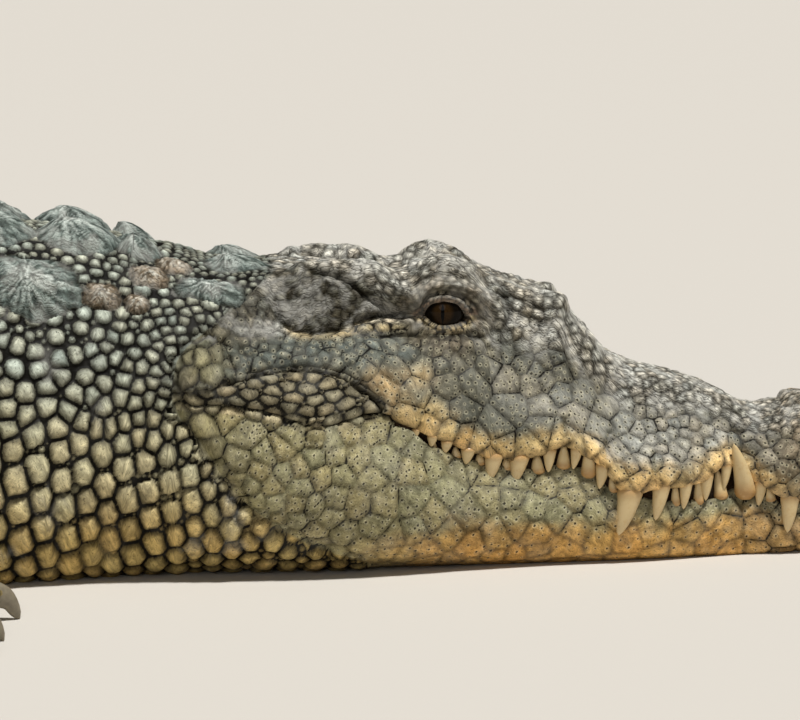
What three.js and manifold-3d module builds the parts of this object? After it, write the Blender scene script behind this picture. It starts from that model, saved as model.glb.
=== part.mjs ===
// A Nile crocodile about 3.6 m long, lying on its belly with its chin on the ground.
// Millimetres, +Z up, +X towards the snout, +Y to the animal's left.
// The body is described by curves along its length: s is the distance behind the snout tip.
// Each station of the body is a ring, drawn from the midline of the back down one side to the
// midline of the belly, and the rings are joined into closed solids with thin gaps between them.
import * as THREE from "three";
import { mergeVertices } from "three/addons/utils/BufferGeometryUtils.js";
import Module from "manifold-3d";

const wasm = await Module();
wasm.setup();

// ---------------------------------------------------------------- driving dimensions
const TOTAL_LENGTH = 3600; // snout tip to tail tip, along the midline
const MOUTH_CORNER = 410; // s of the corner of the mouth
const HEAD_END = 604; // s where the cheeks meet the neck
const NECK_END = 850;
const TRUNK_MIDDLE = 1270;
const TRUNK_END = 1760; // behind the hips
const TAIL_CUTS = [2180, 2620, 3080];
const GAP = 0.3; // gap between touching pieces
const LIMB_GAP = 0.6; // where one rounded limb segment is cut to fit another
const EYE_RADIUS = 21;
const EYE_PLACE = { s: 366, y: 52, z: 222 };
const TAIL_BEND_START = 2350; // the tail lies straight to here, then sweeps to the left
const TAIL_BEND_ANGLE = THREE.MathUtils.degToRad(34);

// ---------------------------------------------------------------- curves along the body
// A smooth curve through [s, value] stations that never overshoots them.
function curve(stations) {
  const s = stations.map((p) => p[0]);
  const v = stations.map((p) => p[1]);
  const count = s.length;
  const rise = s.slice(1).map((next, i) => (v[i + 1] - v[i]) / (next - s[i]));
  const slope = v.map((_, i) => {
    if (i === 0) return rise[0];
    if (i === count - 1) return rise[count - 2];
    if (rise[i - 1] * rise[i] <= 0) return 0;
    return (2 * rise[i - 1] * rise[i]) / (rise[i - 1] + rise[i]);
  });
  return (x) => {
    if (x <= s[0]) return v[0];
    if (x >= s[count - 1]) return v[count - 1];
    let i = 0;
    while (x > s[i + 1]) i += 1;
    const span = s[i + 1] - s[i];
    const t = (x - s[i]) / span;
    const a = v[i] * (1 + 2 * t) + slope[i] * span * t;
    const b = v[i + 1] * (3 - 2 * t) - slope[i + 1] * span * (1 - t);
    return a * (1 - t) ** 2 + b * t ** 2;
  };
}

const smooth = (x, from, to) => THREE.MathUtils.smoothstep(x, from, to);
const mix = THREE.MathUtils.lerp;

// Head. Heights are above the ground, widths are half-widths from the midline.
const headTop = curve([
  [0, 104], [8, 124], [22, 138], [40, 143], [60, 135], [80, 129], [94, 132],
  [114, 142], [150, 157], [190, 167], [222, 182], [245, 200], [272, 222],
  [310, 240], [366, 250], [400, 257], [450, 262], [500, 265], [560, 262], [604, 276],
]);
const ridgeWidth = curve([
  [0, 6], [22, 27], [45, 33], [90, 24], [190, 34], [250, 40], [310, 50],
  [366, 58], [400, 58], [450, 64], [492, 70], [530, 74], [604, 78],
]);
const ridgeRise = curve([
  [0, -8], [40, -4], [90, -5], [200, -5], [250, 6], [275, 9], [300, 7], [330, 6],
  [366, 20], [392, 5], [410, 3], [462, 9], [482, 5], [510, -8], [604, -22],
]);
const flankWidth = curve([
  [0, 9], [22, 36], [45, 44], [90, 34], [195, 52], [300, 66], [340, 70],
  [366, 73], [395, 68], [430, 74], [480, 86], [520, 98], [604, 122],
]);
const flankHeight = curve([
  [0, 86], [45, 116], [90, 112], [150, 124], [200, 134], [300, 178], [366, 212],
  [430, 218], [500, 220], [604, 226],
]);
const cheekWidth = curve([
  [0, 10], [22, 40], [50, 53], [92, 42], [130, 56], [195, 72], [250, 76],
  [300, 84], [366, 98], [430, 113], [500, 130], [560, 139], [604, 141],
]);
const cheekHeight = curve([
  [0, 76], [50, 86], [92, 96], [150, 96], [200, 98], [260, 124], [300, 136],
  [366, 160], [430, 180], [500, 184], [604, 180],
]);
const lipWidth = curve([
  [0, 11], [10, 26], [25, 41], [50, 56], [70, 57], [92, 45], [112, 54],
  [160, 76], [196, 86], [260, 83], [300, 90], [360, 103], [410, 116],
]);
const upperLip = curve([
  [0, 62], [28, 54], [55, 51], [72, 58], [94, 69], [118, 81], [140, 71],
  [168, 68], [188, 68], [203, 63], [214, 68], [228, 86], [246, 98], [262, 107],
  [280, 100], [310, 96], [340, 103], [375, 117], [410, 132],
]);
const lowerLip = curve([
  [0, 50], [40, 45], [65, 46], [90, 55], [107, 57], [128, 51], [160, 51],
  [190, 57], [220, 65], [240, 80], [262, 87], [285, 83], [315, 87],
  [350, 96], [380, 109], [410, 130],
]);
const cheekLine = curve([[410, 131], [450, 137], [500, 141], [560, 150], [604, 158]]);
const jawWidth = curve([
  [0, 8], [10, 20], [25, 34], [50, 48], [92, 47], [130, 57], [195, 77],
  [260, 85], [340, 104], [410, 128], [450, 138], [500, 145], [560, 146], [604, 142],
]);
const jawHeight = curve([[0, 30], [130, 30], [260, 42], [350, 56], [430, 78], [520, 98], [604, 110]]);
const jawFoot = curve([[0, 5], [25, 16], [50, 26], [140, 46], [265, 60], [430, 66], [520, 62], [604, 60]]);

// Neck, trunk and tail.
const bodyTop = curve([
  [604, 276], [660, 288], [730, 297], [820, 304], [950, 318], [1120, 334],
  [1300, 340], [1500, 330], [1650, 302], [1800, 262], [2100, 208],
  [2500, 158], [2900, 118], [3300, 80], [3560, 42], [3600, 30],
]);
const bodyWidth = curve([
  [604, 141], [640, 141], [700, 151], [770, 168], [860, 200], [960, 232],
  [1100, 262], [1280, 280], [1450, 272], [1600, 234], [1720, 190], [1820, 150],
  [2050, 108], [2350, 74], [2700, 50], [3100, 29], [3400, 17], [3600, 7],
]);
const bodyFoot = curve([
  [604, 60], [700, 76], [860, 110], [1280, 176], [1600, 140], [1820, 76],
  [2350, 34], [2900, 18], [3600, 4],
]);
// How boxy the section is: the back of the trunk is broad and gently arched, the tail is narrow.
const backBreadth = curve([[604, 0.66], [1280, 0.72], [1720, 0.66], [2000, 0.5], [3600, 0.45]]);

// ---------------------------------------------------------------- rings
// Evenly spaced points along a smooth line through the given [y, z] points.
function along(points, count) {
  const path = new THREE.CatmullRomCurve3(
    points.map(([y, z]) => new THREE.Vector3(0, y, z)),
    false,
    "centripetal",
  );
  return path.getSpacedPoints(count).map((p) => [Math.max(p.y, 0), Math.max(p.z, 0)]);
}

// Steps round one side of a ring: from the back to the mouth's level, and from there to the belly.
const HEAD_STEPS = [7, 4];
const TRUNK_STEPS = [6, 4];
const TAIL_STEPS = [4, 3];

function headUpperSide(s) {
  const top = headTop(s);
  const lip = s < MOUTH_CORNER ? upperLip(s) : cheekLine(s);
  const lipY = s < MOUTH_CORNER ? lipWidth(s) : mix(lipWidth(s), jawWidth(s), smooth(s, 410, 500));
  return [
    [0, top],
    [ridgeWidth(s) * 0.55, top + ridgeRise(s) * 0.35],
    [ridgeWidth(s), top + ridgeRise(s)],
    [flankWidth(s), flankHeight(s)],
    [cheekWidth(s), cheekHeight(s)],
    [lipY, mix(lip, cheekHeight(s), 0.3)],
    [lipY - 3, lip],
  ];
}

function headLowerSide(s) {
  const lip = s < MOUTH_CORNER ? lowerLip(s) : cheekLine(s);
  const inset = mix(8, 0, smooth(s, 330, MOUTH_CORNER));
  const lipY = s < MOUTH_CORNER ? lipWidth(s) - 3 - inset : headUpperSide(s).at(-1)[0];
  return [
    [lipY, lip],
    [jawWidth(s), jawHeight(s)],
    [mix(jawFoot(s), jawWidth(s), 0.75), jawHeight(s) * 0.3],
    [jawFoot(s), 0],
    [0, 0],
  ];
}

function bodySide(s) {
  const top = bodyTop(s);
  const wide = bodyWidth(s);
  const foot = bodyFoot(s);
  return [
    [0, top],
    [wide * backBreadth(s) * 0.55, top * 0.985],
    [wide * backBreadth(s), top * 0.9],
    [wide * 0.93, top * 0.68],
    [wide, top * 0.44],
    [wide * 0.92, top * 0.2],
    [mix(foot, wide, 0.55), top * 0.05],
    [foot, 0],
    [0, 0],
  ];
}

// Half rings: points from the back to the level of the mouth, and from there to the belly.
function headHalf(s) {
  return {
    upper: along(headUpperSide(s), HEAD_STEPS[0]),
    lower: along(headLowerSide(s), HEAD_STEPS[1]),
  };
}

function bodyHalf(s, [upperSteps, lowerSteps]) {
  const side = bodySide(s);
  return { upper: along(side.slice(0, 5), upperSteps), lower: along(side.slice(4), lowerSteps) };
}

// Where a station stands, and which way its plane faces: the tail sweeps to the left.
const bendLength = TOTAL_LENGTH - TAIL_BEND_START;
function spine(s) {
  if (s <= TAIL_BEND_START) return { place: new THREE.Vector3(-s, 0, 0), turn: 0 };
  const along = s - TAIL_BEND_START;
  const radius = bendLength / TAIL_BEND_ANGLE;
  const turn = along / radius;
  return {
    place: new THREE.Vector3(
      -TAIL_BEND_START - radius * Math.sin(turn),
      radius * (1 - Math.cos(turn)),
      0,
    ),
    turn,
  };
}

// A [y, z] point of the station at s, pushed outwards by grow, as a place in the animal's frame.
function onStation(s, y, z, grow = 0) {
  const { place, turn } = spine(s);
  const middle = bodyTop(Math.max(s, HEAD_END)) * 0.45;
  const out = new THREE.Vector2(y, z - middle).normalize().multiplyScalar(grow);
  return new THREE.Vector3(0, y + out.x, z + out.y)
    .applyAxisAngle(new THREE.Vector3(0, 0, 1), -turn)
    .add(place);
}

// ---------------------------------------------------------------- solids
function toSolid(geometry) {
  const bare = geometry.clone();
  bare.deleteAttribute("normal");
  bare.deleteAttribute("uv");
  const merged = mergeVertices(bare, 1e-4);
  const mesh = new wasm.Mesh({
    numProp: 3,
    vertProperties: new Float32Array(merged.attributes.position.array),
    triVerts: new Uint32Array(merged.index.array),
  });
  return new wasm.Manifold(mesh);
}

// A closed solid through rings of points, all with the same count. Each end is a fan of triangles
// round the middle of its ring.
function loft(rings) {
  const count = rings[0].length;
  const ends = [rings[0], rings.at(-1)];
  const middles = ends.map((ring) =>
    ring.reduce((sum, p) => sum.add(p), new THREE.Vector3()).divideScalar(count),
  );
  const places = [...rings.flat(), ...middles];
  const last = (rings.length - 1) * count;
  const faces = [];
  for (let i = 0; i < count; i += 1) {
    const next = (i + 1) % count;
    for (let row = 0; row < last; row += count) {
      const [a, b, c, d] = [row + i, row + next, row + count + i, row + count + next];
      faces.push(a, c, b, b, c, d);
    }
    faces.push(last + count, i, next, last + next, last + i, last + count + 1);
  }
  const geometry = new THREE.BufferGeometry().setFromPoints(places);
  geometry.setIndex(faces);
  const solid = toSolid(geometry);
  if (solid.volume() > 0) return solid;
  geometry.setIndex(faces.reverse());
  return toSolid(geometry);
}

function union(solids) {
  return solids.reduce((whole, solid) => whole.add(solid));
}

function largestPiece(solid) {
  return solid.decompose().reduce((best, piece) => (piece.volume() > best.volume() ? piece : best));
}

// Stations from one end to the other, the end ones pulled in so that neighbours keep the gap.
function stations(from, to, step, pull = GAP / 2) {
  const count = Math.max(1, Math.round((to - from) / step));
  return Array.from({ length: count + 1 }, (_, i) => {
    if (i === 0) return from + pull;
    if (i === count) return to - pull;
    return from + ((to - from) * i) / count;
  });
}

// A whole ring, from the midline of the back round by the right side.
function bodyRing(s, steps, grow = 0) {
  const { upper, lower } = bodyHalf(s, steps);
  const half = [...upper, ...lower.slice(1)];
  const right = half.map(([y, z]) => onStation(s, -y, z, grow));
  const left = half.slice(1, -1).reverse().map(([y, z]) => onStation(s, y, z, grow));
  return [...right, ...left];
}

const TRUNK = { step: 84, around: TRUNK_STEPS };
const TAIL = { step: 112, around: TAIL_STEPS };
const regionAt = (s) => (s < TRUNK_END ? TRUNK : TAIL);

// A length of body; with grow, the room it takes, to cut what is set into it.
function bodyPiece(from, to, grow = 0) {
  const { step, around } = regionAt(from);
  const pull = grow > 0 ? -grow : GAP / 2;
  return loft(stations(from, to, step, pull).map((s) => bodyRing(s, around, grow)));
}

// ---------------------------------------------------------------- head and jaw
const GUM_DEPTH = 13; // how far inside the lips the closed jaws meet
const MEETING_SHARE = 0.5; // the jaws meet half-way between the lips

function meetingHeight(s) {
  return s < MOUTH_CORNER ? mix(lowerLip(s), upperLip(s), MEETING_SHARE) : cheekLine(s);
}

function upperHeadRing(s, grow = 0) {
  const side = headHalf(s).upper;
  const [lipY, lipZ] = side.at(-1);
  const inner = Math.max(lipY - GUM_DEPTH, lipY * 0.45);
  const floor = meetingHeight(s) + GAP;
  const outer = side.slice(0, -1).map(([y, z]) => [y > 0 ? y + grow : 0, z + grow]);
  const half = [
    ...outer,
    [lipY + grow, Math.max(lipZ, floor) - grow],
    [inner + grow, mix(Math.max(lipZ, floor), floor, 0.7) - grow],
    [inner - 2 + grow, floor - grow],
  ];
  const right = half.map(([y, z]) => new THREE.Vector3(-s, -y, z));
  const left = half.slice(1).reverse().map(([y, z]) => new THREE.Vector3(-s, y, z));
  return [...right, ...left];
}

function lowerJawRing(s) {
  const side = headHalf(s).lower;
  const [lipY, lipZ] = side[0];
  const inner = Math.max(lipY - GUM_DEPTH * 0.5, lipY * 0.5);
  const roof = meetingHeight(s) - GAP / 2;
  const half = [
    [inner - 2, roof],
    [inner, mix(Math.min(lipZ, roof), roof, 0.7)],
    [lipY, Math.min(lipZ, roof)],
    ...side.slice(1),
  ];
  const right = half.map(([y, z]) => new THREE.Vector3(-s, -y, z));
  const left = half.slice(0, -1).reverse().map(([y, z]) => new THREE.Vector3(-s, y, z));
  return [...right, ...left];
}

const SNOUT_STEP = 21;
const CHEEK_STEP = 32;
const snoutStations = [1.5, 7, ...stations(14, MOUTH_CORNER, SNOUT_STEP).slice(0, -1)];
const headStations = [...snoutStations, ...stations(MOUTH_CORNER, HEAD_END, CHEEK_STEP).map(
  (s, i) => (i === 0 ? MOUTH_CORNER : s),
)];

// ---------------------------------------------------------------- teeth
// Each tooth: distance behind the snout tip, its height out of the gum, its thickness at the root,
// and how far its point leans towards the snout.
const UPPER_TEETH = [
  [14, 18, 8, 0], [30, 24, 10, 0], [57, 36, 15, 2], [85, 24, 11, 6], [126, 25, 10, 4],
  [141, 26, 11, 3], [162, 28, 11, 5], [184, 38, 15, 5], [212, 43, 20, 15], [241, 24, 14, 4],
  [272, 19, 10, 2], [301, 19, 8, 1], [324, 24, 13, 3], [350, 23, 13, 4], [379, 14, 9, 1],
];
const LOWER_TEETH = [
  [10, 20, 10, 2], [44, 16, 9, 0], [76, 14, 8, 0], [104, 52, 19, 10], [128, 26, 10, 2],
  [150, 25, 10, 0], [172, 22, 9, 0], [236, 20, 10, 0], [258, 32, 13, 0], [284, 24, 11, 0],
  [312, 20, 9, 0], [340, 15, 8, 0], [366, 12, 8, 0],
];
const toothSides = (thickness) => (thickness < 14 ? 3 : 4);
const ROOT_DEPTH = 5;

function tooth(s, side, height, thickness, lean, up, grow) {
  const gum = up > 0 ? lowerLip(s) : upperLip(s);
  const inset = up > 0 ? 9 : 4;
  const y = side * Math.max(lipWidth(s) - inset - thickness * 0.3, 3);
  const radius = thickness / 2;
  const sides = toothSides(thickness);
  const levels = [
    [-ROOT_DEPTH, 1.1, 0],
    [height + grow, 0.16, 1],
  ];
  const rings = levels.map(([rise, share, shift]) =>
    Array.from({ length: sides }, (_, i) => {
      const angle = (2 * Math.PI * (i + 0.5)) / sides;
      return new THREE.Vector3(
        -s + lean * shift + (radius * share + grow * 1.5) * Math.cos(angle),
        y + (radius * share * 0.8 + grow * 1.5) * Math.sin(angle),
        gum + up * rise,
      );
    }),
  );
  return loft(rings);
}

function toothRow(teeth, up, grow = 0) {
  return union(
    teeth.flatMap(([s, height, thickness, lean]) =>
      [-1, 1].map((side) => tooth(s, side, height, thickness, lean, up, grow)),
    ),
  );
}

// ---------------------------------------------------------------- scutes
// A keeled horn plate: a low lozenge, sunk in the skin, whose keel runs along the body.
function scute(s, y, z, length, width, height) {
  const { place, turn } = spine(s);
  const sunk = -height * 0.9;
  const corners = [
    [0.58, 0, sunk], [-0.06, -0.62, sunk], [-0.58, 0, sunk], [-0.06, 0.62, sunk],
    [0.12, 0, height * 0.85], [-0.36, 0, height],
  ];
  const points = corners.map(([along, across, rise]) =>
    new THREE.Vector3(along * length, y + across * width, z + rise)
      .applyAxisAngle(new THREE.Vector3(0, 0, 1), -turn)
      .add(place),
  );
  const geometry = new THREE.BufferGeometry().setFromPoints(points);
  geometry.setIndex([0, 1, 2, 0, 2, 3, 0, 4, 1, 1, 4, 5, 1, 5, 2, 2, 5, 3, 3, 5, 4, 3, 4, 0]);
  return toSolid(geometry);
}

// The height of the back at a distance y from the midline.
function backHeight(s, y) {
  const { upper } = s < HEAD_END ? headHalf(s) : bodyHalf(s, regionAt(s).around);
  const i = upper.findIndex(([width]) => width > Math.abs(y));
  const [y0, z0] = upper[i - 1];
  const [y1, z1] = upper[i];
  return mix(z0, z1, (Math.abs(y) - y0) / (y1 - y0));
}

function scutePair(s, y, length, width, height) {
  const z = backHeight(s, y) - 1;
  return [-y, y].map((place) => scute(s, place, z, length, width, height));
}

// Behind the skull, a row of four small plates, then the square block of large nape plates.
const NAPE_SCUTES = [
  [545, 34, 54, 38, 13], [570, 88, 48, 34, 11], [634, 40, 50, 40, 15],
  [682, 46, 74, 66, 19], [716, 112, 74, 62, 15], [756, 46, 72, 66, 19], [664, 126, 40, 34, 10],
];

function napeScutes(wanted) {
  return NAPE_SCUTES.filter(([s]) => wanted(s)).flatMap((plate) => scutePair(...plate));
}

const BACK_FIRST = 862;
const BACK_ROW_STEP = 55;
const BACK_ROWS = 17;
const backKeel = (s) => 12 + 3 * smooth(s, 1400, 1800);

function backScutes(from, to) {
  const rows = Array.from({ length: BACK_ROWS }, (_, i) => BACK_FIRST + BACK_ROW_STEP * (i + 0.5));
  return rows
    .filter((s) => s > from + 30 && s < to - 30)
    .flatMap((s) => scutePair(s, bodyWidth(s) * 0.17, 50, bodyWidth(s) * 0.24, backKeel(s)));
}

// Tail crests: two rows of upright keels that close up on each other, then one row to the tip.
const CREST_STEP = 51;
const CREST_MERGE = 2760;
const crestHeight = curve([
  [1760, 16], [2100, 30], [2500, 44], [2760, 50], [3100, 50], [3450, 34], [3600, 14],
]);

function crestKeel(s, y) {
  const height = crestHeight(s);
  const base = backHeight(s, y);
  const foot = -Math.min(14, base * 0.35);
  const outline = [[0.47, foot, 5], [-0.5, height, 2], [-0.46, foot, 5]];
  const { place, turn } = spine(s);
  const rings = [-1, 1].map((side) =>
    outline.map(([along, rise, half]) =>
      new THREE.Vector3(along * CREST_STEP, y + side * half, base + rise)
        .applyAxisAngle(new THREE.Vector3(0, 0, 1), -turn)
        .add(place),
    ),
  );
  return loft(rings);
}

function tailCrest(from, to) {
  const keels = [];
  for (let s = TRUNK_END + CREST_STEP / 2; s < TOTAL_LENGTH - 20; s += CREST_STEP) {
    if (s < from + CREST_STEP * 0.55 || s > to - CREST_STEP * 0.55) continue;
    const apart = bodyWidth(s) * mix(0.4, 0.1, smooth(s, 1900, CREST_MERGE));
    if (s < CREST_MERGE) keels.push(crestKeel(s, -apart), crestKeel(s, apart));
    else keels.push(crestKeel(s, 0));
  }
  return keels;
}

// ---------------------------------------------------------------- legs
// A limb section is a ring of points round a place, wide across the limb and thin the other way.
const LIMB_SIDES = 6;
const TOE_SIDES = 4;

function limb(joints, sides = LIMB_SIDES, grow = 0) {
  const rings = joints.map(({ at, wide, thick }, i) => {
    const before = joints[Math.max(i - 1, 0)].at;
    const after = joints[Math.min(i + 1, joints.length - 1)].at;
    const forward = new THREE.Vector3().subVectors(after, before).normalize();
    const across = new THREE.Vector3().crossVectors(forward, new THREE.Vector3(0, 0, 1)).normalize();
    const up = new THREE.Vector3().crossVectors(across, forward);
    const end = i === 0 ? -grow : i === joints.length - 1 ? grow : 0;
    return Array.from({ length: sides }, (_, k) => {
      const angle = (2 * Math.PI * (k + 0.5)) / sides;
      return at
        .clone()
        .addScaledVector(forward, end)
        .addScaledVector(across, (wide + grow) * Math.cos(angle))
        .addScaledVector(up, (thick + grow) * Math.sin(angle));
    });
  });
  return loft(rings);
}

const at = (s, y, z) => new THREE.Vector3(-s, y, z);
const section = (s, y, z, wide, thick) => ({ at: at(s, y, z), wide, thick });

// Limb stations: s, distance out from the midline, height, half-width and half-thickness.
// Toes: where each leaves the palm, its bend and its end, and whether it has a claw.
const FORELEG = {
  upperArm: [
    [884, 150, 150, 62, 62], [930, 225, 140, 60, 58], [985, 292, 112, 48, 48], [1006, 322, 98, 46, 46],
  ],
  forearm: [
    [1006, 322, 98, 46, 46], [985, 345, 84, 46, 44], [935, 352, 60, 38, 36], [893, 350, 40, 30, 27],
  ],
  palm: [
    [893, 350, 40, 30, 27], [868, 350, 27, 38, 21], [838, 352, 16, 46, 16], [815, 354, 12, 44, 13],
  ],
  toes: [
    [[846, 322, 20], [800, 292, 30], [765, 278, 38], true],
    [[828, 348, 18], [790, 350, 32], [781, 352, 38], true],
    [[832, 374, 18], [800, 400, 30], [784, 412, 37], true],
    [[850, 388, 16], [832, 428, 20], [824, 448, 13], false],
    [[868, 384, 16], [872, 418, 16], [876, 440, 12], false],
  ],
  toeRadius: 14,
  clawLength: 44,
};
const HINDLEG = {
  upperArm: [
    [1738, 110, 150, 84, 84], [1700, 190, 150, 84, 80], [1640, 292, 150, 68, 64], [1608, 340, 140, 58, 56],
  ],
  forearm: [
    [1608, 340, 140, 58, 56], [1640, 378, 118, 58, 54], [1716, 404, 78, 44, 42], [1768, 412, 48, 36, 32],
  ],
  palm: [
    [1768, 412, 48, 36, 32], [1792, 424, 30, 34, 28], [1756, 444, 24, 42, 24], [1700, 462, 16, 54, 16],
    [1672, 470, 12, 54, 13],
  ],
  toes: [
    [[1700, 430, 18], [1655, 420, 28], [1625, 416, 36], true],
    [[1684, 456, 18], [1630, 458, 30], [1592, 458, 36], true],
    [[1684, 486, 18], [1636, 500, 28], [1606, 508, 36], true],
    [[1700, 506, 16], [1664, 532, 20], [1640, 548, 13], false],
  ],
  toeRadius: 15,
  clawLength: 42,
};

const FLOOR_SPAN = 6000;
const aboveFloor = (() => {
  const block = new THREE.BoxGeometry(FLOOR_SPAN, FLOOR_SPAN, 1000);
  block.translate(-TOTAL_LENGTH / 2, 0, 500);
  return toSolid(block);
})();

function sided(rows, side) {
  return rows.map(([s, y, z, wide, thick]) => section(s, side * y, z, wide, thick));
}

function toe([root, bend, end], radius, side) {
  const joints = [
    section(root[0], side * root[1], root[2], radius, radius * 0.8),
    section(bend[0], side * bend[1], bend[2] * 0.75, radius * 0.92, radius * 0.9),
    section(end[0], side * end[1], end[2] * 0.62, radius * 0.8, radius * 0.86),
  ];
  return limb(joints, TOE_SIDES);
}

// A claw: a thick cone that starts at the toe's end and bends down to the ground.
function claw([, bend, end], length, radius, side) {
  const heading = new THREE.Vector3(bend[0] - end[0], side * (end[1] - bend[1]), 0).normalize();
  const start = at(end[0], side * end[1], end[2] * 0.62);
  const slope = (end[2] * 0.62 - bend[2] * 0.75) / Math.hypot(bend[0] - end[0], end[1] - bend[1]);
  const axis = heading.clone().setZ(slope).normalize();
  const levels = [[GAP, 0, 0.86], [0.55, 0.2, 0.66], [1, 1, 0.1]];
  const drop = start.z + radius * 0.05;
  const across = new THREE.Vector3().crossVectors(axis, new THREE.Vector3(0, 0, 1)).normalize();
  const rings = levels.map(([reach, fall, share], i) => {
    const middle = start.clone();
    if (i === 0) middle.addScaledVector(axis, GAP);
    else middle.addScaledVector(heading, length * 0.62 * reach).setZ(start.z - drop * fall);
    const tilt = i === 0 ? axis : heading.clone().setZ(-fall * 1.6).normalize();
    const up = new THREE.Vector3().crossVectors(across, tilt).normalize();
    return Array.from({ length: TOE_SIDES }, (_, k) => {
      const angle = (2 * Math.PI * (k + 0.5)) / TOE_SIDES;
      return middle
        .clone()
        .addScaledVector(across, radius * 0.78 * share * Math.cos(angle))
        .addScaledVector(up, radius * share * Math.sin(angle));
    });
  });
  return loft(rings);
}

// ---------------------------------------------------------------- the animal
const finish = (name, color, roughness) =>
  new THREE.MeshStandardMaterial({ name, color, roughness, metalness: 0 });
const HIDE = finish("hide", 0x6f7467, 0.62);
const BACK = finish("back_plates", 0x5f666a, 0.65);
const JAW = finish("jaw", 0x9a9472, 0.6);
const EYE = finish("eye", 0x4a4526, 0.08);
const CLAW = finish("claw", 0x6d7276, 0.4);

const crocodile = new THREE.Group();

function add(name, solid, material) {
  const { numProp, vertProperties, triVerts } = solid.getMesh();
  const places = new Float32Array((vertProperties.length / numProp) * 3);
  for (let i = 0; i < places.length / 3; i += 1) {
    for (let k = 0; k < 3; k += 1) places[3 * i + k] = vertProperties[i * numProp + k];
  }
  const geometry = new THREE.BufferGeometry();
  geometry.setAttribute("position", new THREE.BufferAttribute(places, 3));
  geometry.setIndex(new THREE.BufferAttribute(new Uint32Array(triVerts), 1));
  geometry.computeVertexNormals();
  const mesh = new THREE.Mesh(geometry, material);
  mesh.name = name;
  crocodile.add(mesh);
}

function eyeball(side, grow = 0) {
  const ball = new THREE.SphereGeometry(EYE_RADIUS + grow, 10, 7);
  ball.translate(-EYE_PLACE.s, side * EYE_PLACE.y, EYE_PLACE.z);
  return toSolid(ball);
}

function buildHead() {
  const skull = loft(headStations.map((s) => upperHeadRing(s)));
  const length = HEAD_END - GAP / 2;
  const front = toSolid(new THREE.BoxGeometry(length, 600, 800).translate(-length / 2, 0, 400));
  const plates = union(napeScutes((s) => s < HEAD_END)).intersect(front);
  const head = union([skull, plates, toothRow(UPPER_TEETH, -1)])
    .subtract(eyeball(-1, GAP))
    .subtract(eyeball(1, GAP));
  add("head", largestPiece(head), HIDE);
  for (const [name, side] of [["eye_right", -1], ["eye_left", 1]]) add(name, eyeball(side), EYE);
  const grownSkull = loft(headStations.map((s) => upperHeadRing(s, GAP)));
  const jaw = loft(headStations.map((s) => lowerJawRing(s))).subtract(toothRow(UPPER_TEETH, -1, GAP));
  const teeth = toothRow(LOWER_TEETH, 1).subtract(grownSkull).subtract(toothRow(UPPER_TEETH, -1, GAP));
  add("lower_jaw", largestPiece(jaw.add(teeth)), JAW);
}

function buildBody() {
  const nape = napeScutes((s) => s > HEAD_END);
  add("neck", union([bodyPiece(HEAD_END, NECK_END), ...nape]), HIDE);
  const trunk = [["trunk_front", NECK_END, TRUNK_MIDDLE], ["trunk_rear", TRUNK_MIDDLE, TRUNK_END]];
  trunk.forEach(([name, from, to]) => {
    add(name, union([bodyPiece(from, to), ...backScutes(from, to)]), BACK);
  });
  const ends = [TRUNK_END, ...TAIL_CUTS, TOTAL_LENGTH];
  ends.slice(1).forEach((to, i) => {
    const from = ends[i];
    const piece = union([bodyPiece(from, to), ...tailCrest(from, to)]);
    add(`tail_${i + 1}`, largestPiece(piece), BACK);
  });
}

function buildLeg(shape, names, side, trunk) {
  const upper = sided(shape.upperArm, side);
  const lower = sided(shape.forearm, side);
  const upperArm = largestPiece(limb(upper).subtract(trunk));
  const clear = union([trunk, limb(upper, LIMB_SIDES, LIMB_GAP)]);
  const forearm = largestPiece(limb(lower).subtract(clear));
  const toes = shape.toes.map((digit) => toe(digit, shape.toeRadius, side));
  const foot = union([limb(sided(shape.palm, side)), ...toes])
    .subtract(clear.add(limb(lower, LIMB_SIDES, LIMB_GAP)))
    .intersect(aboveFloor);
  add(names[0], upperArm, HIDE);
  add(names[1], forearm, HIDE);
  add(names[2], largestPiece(foot), HIDE);
  const clawed = shape.toes.filter(([, , , hasClaw]) => hasClaw);
  clawed.forEach((digit, i) => {
    const cone = claw(digit, shape.clawLength, shape.toeRadius, side).intersect(aboveFloor);
    add(`${names[3]}_${i + 1}`, cone, CLAW);
  });
}

function buildLegs() {
  const ends = [HEAD_END, NECK_END, TRUNK_MIDDLE, TRUNK_END, TAIL_CUTS[0]];
  const around = union(ends.slice(1).map((to, i) => bodyPiece(ends[i], to, GAP)));
  for (const [word, side] of [["right", -1], ["left", 1]]) {
    const named = (...parts) => parts.map((part) => `${part}_${word}`);
    buildLeg(FORELEG, named("upper_arm", "forearm", "forefoot", "fore_claw"), side, around);
    buildLeg(HINDLEG, named("thigh", "shank", "hindfoot", "hind_claw"), side, around);
  }
}

buildHead();
buildBody();
buildLegs();

// The origin is under the middle of the animal's bounding box, on the ground.
const box = new THREE.Box3().setFromObject(crocodile);
const middle = box.getCenter(new THREE.Vector3());
crocodile.children.forEach((mesh) => mesh.position.set(-middle.x, -middle.y, -box.min.z));

export default crocodile;
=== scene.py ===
"""A life-size Nile crocodile for a museum, lying on its belly with its chin on the ground.

The skin is one surface in several joined pieces: smooth base forms, then folds, then scales as
real relief, each laid out by rules. Lengths in the shape code are millimetres in the animal's own
frame (s behind the snout tip, y to its left, z up); meshes are metres in the frame of the CAD.
"""

import math

import bpy
import numpy as np
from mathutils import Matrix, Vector
from mathutils.kdtree import KDTree


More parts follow.
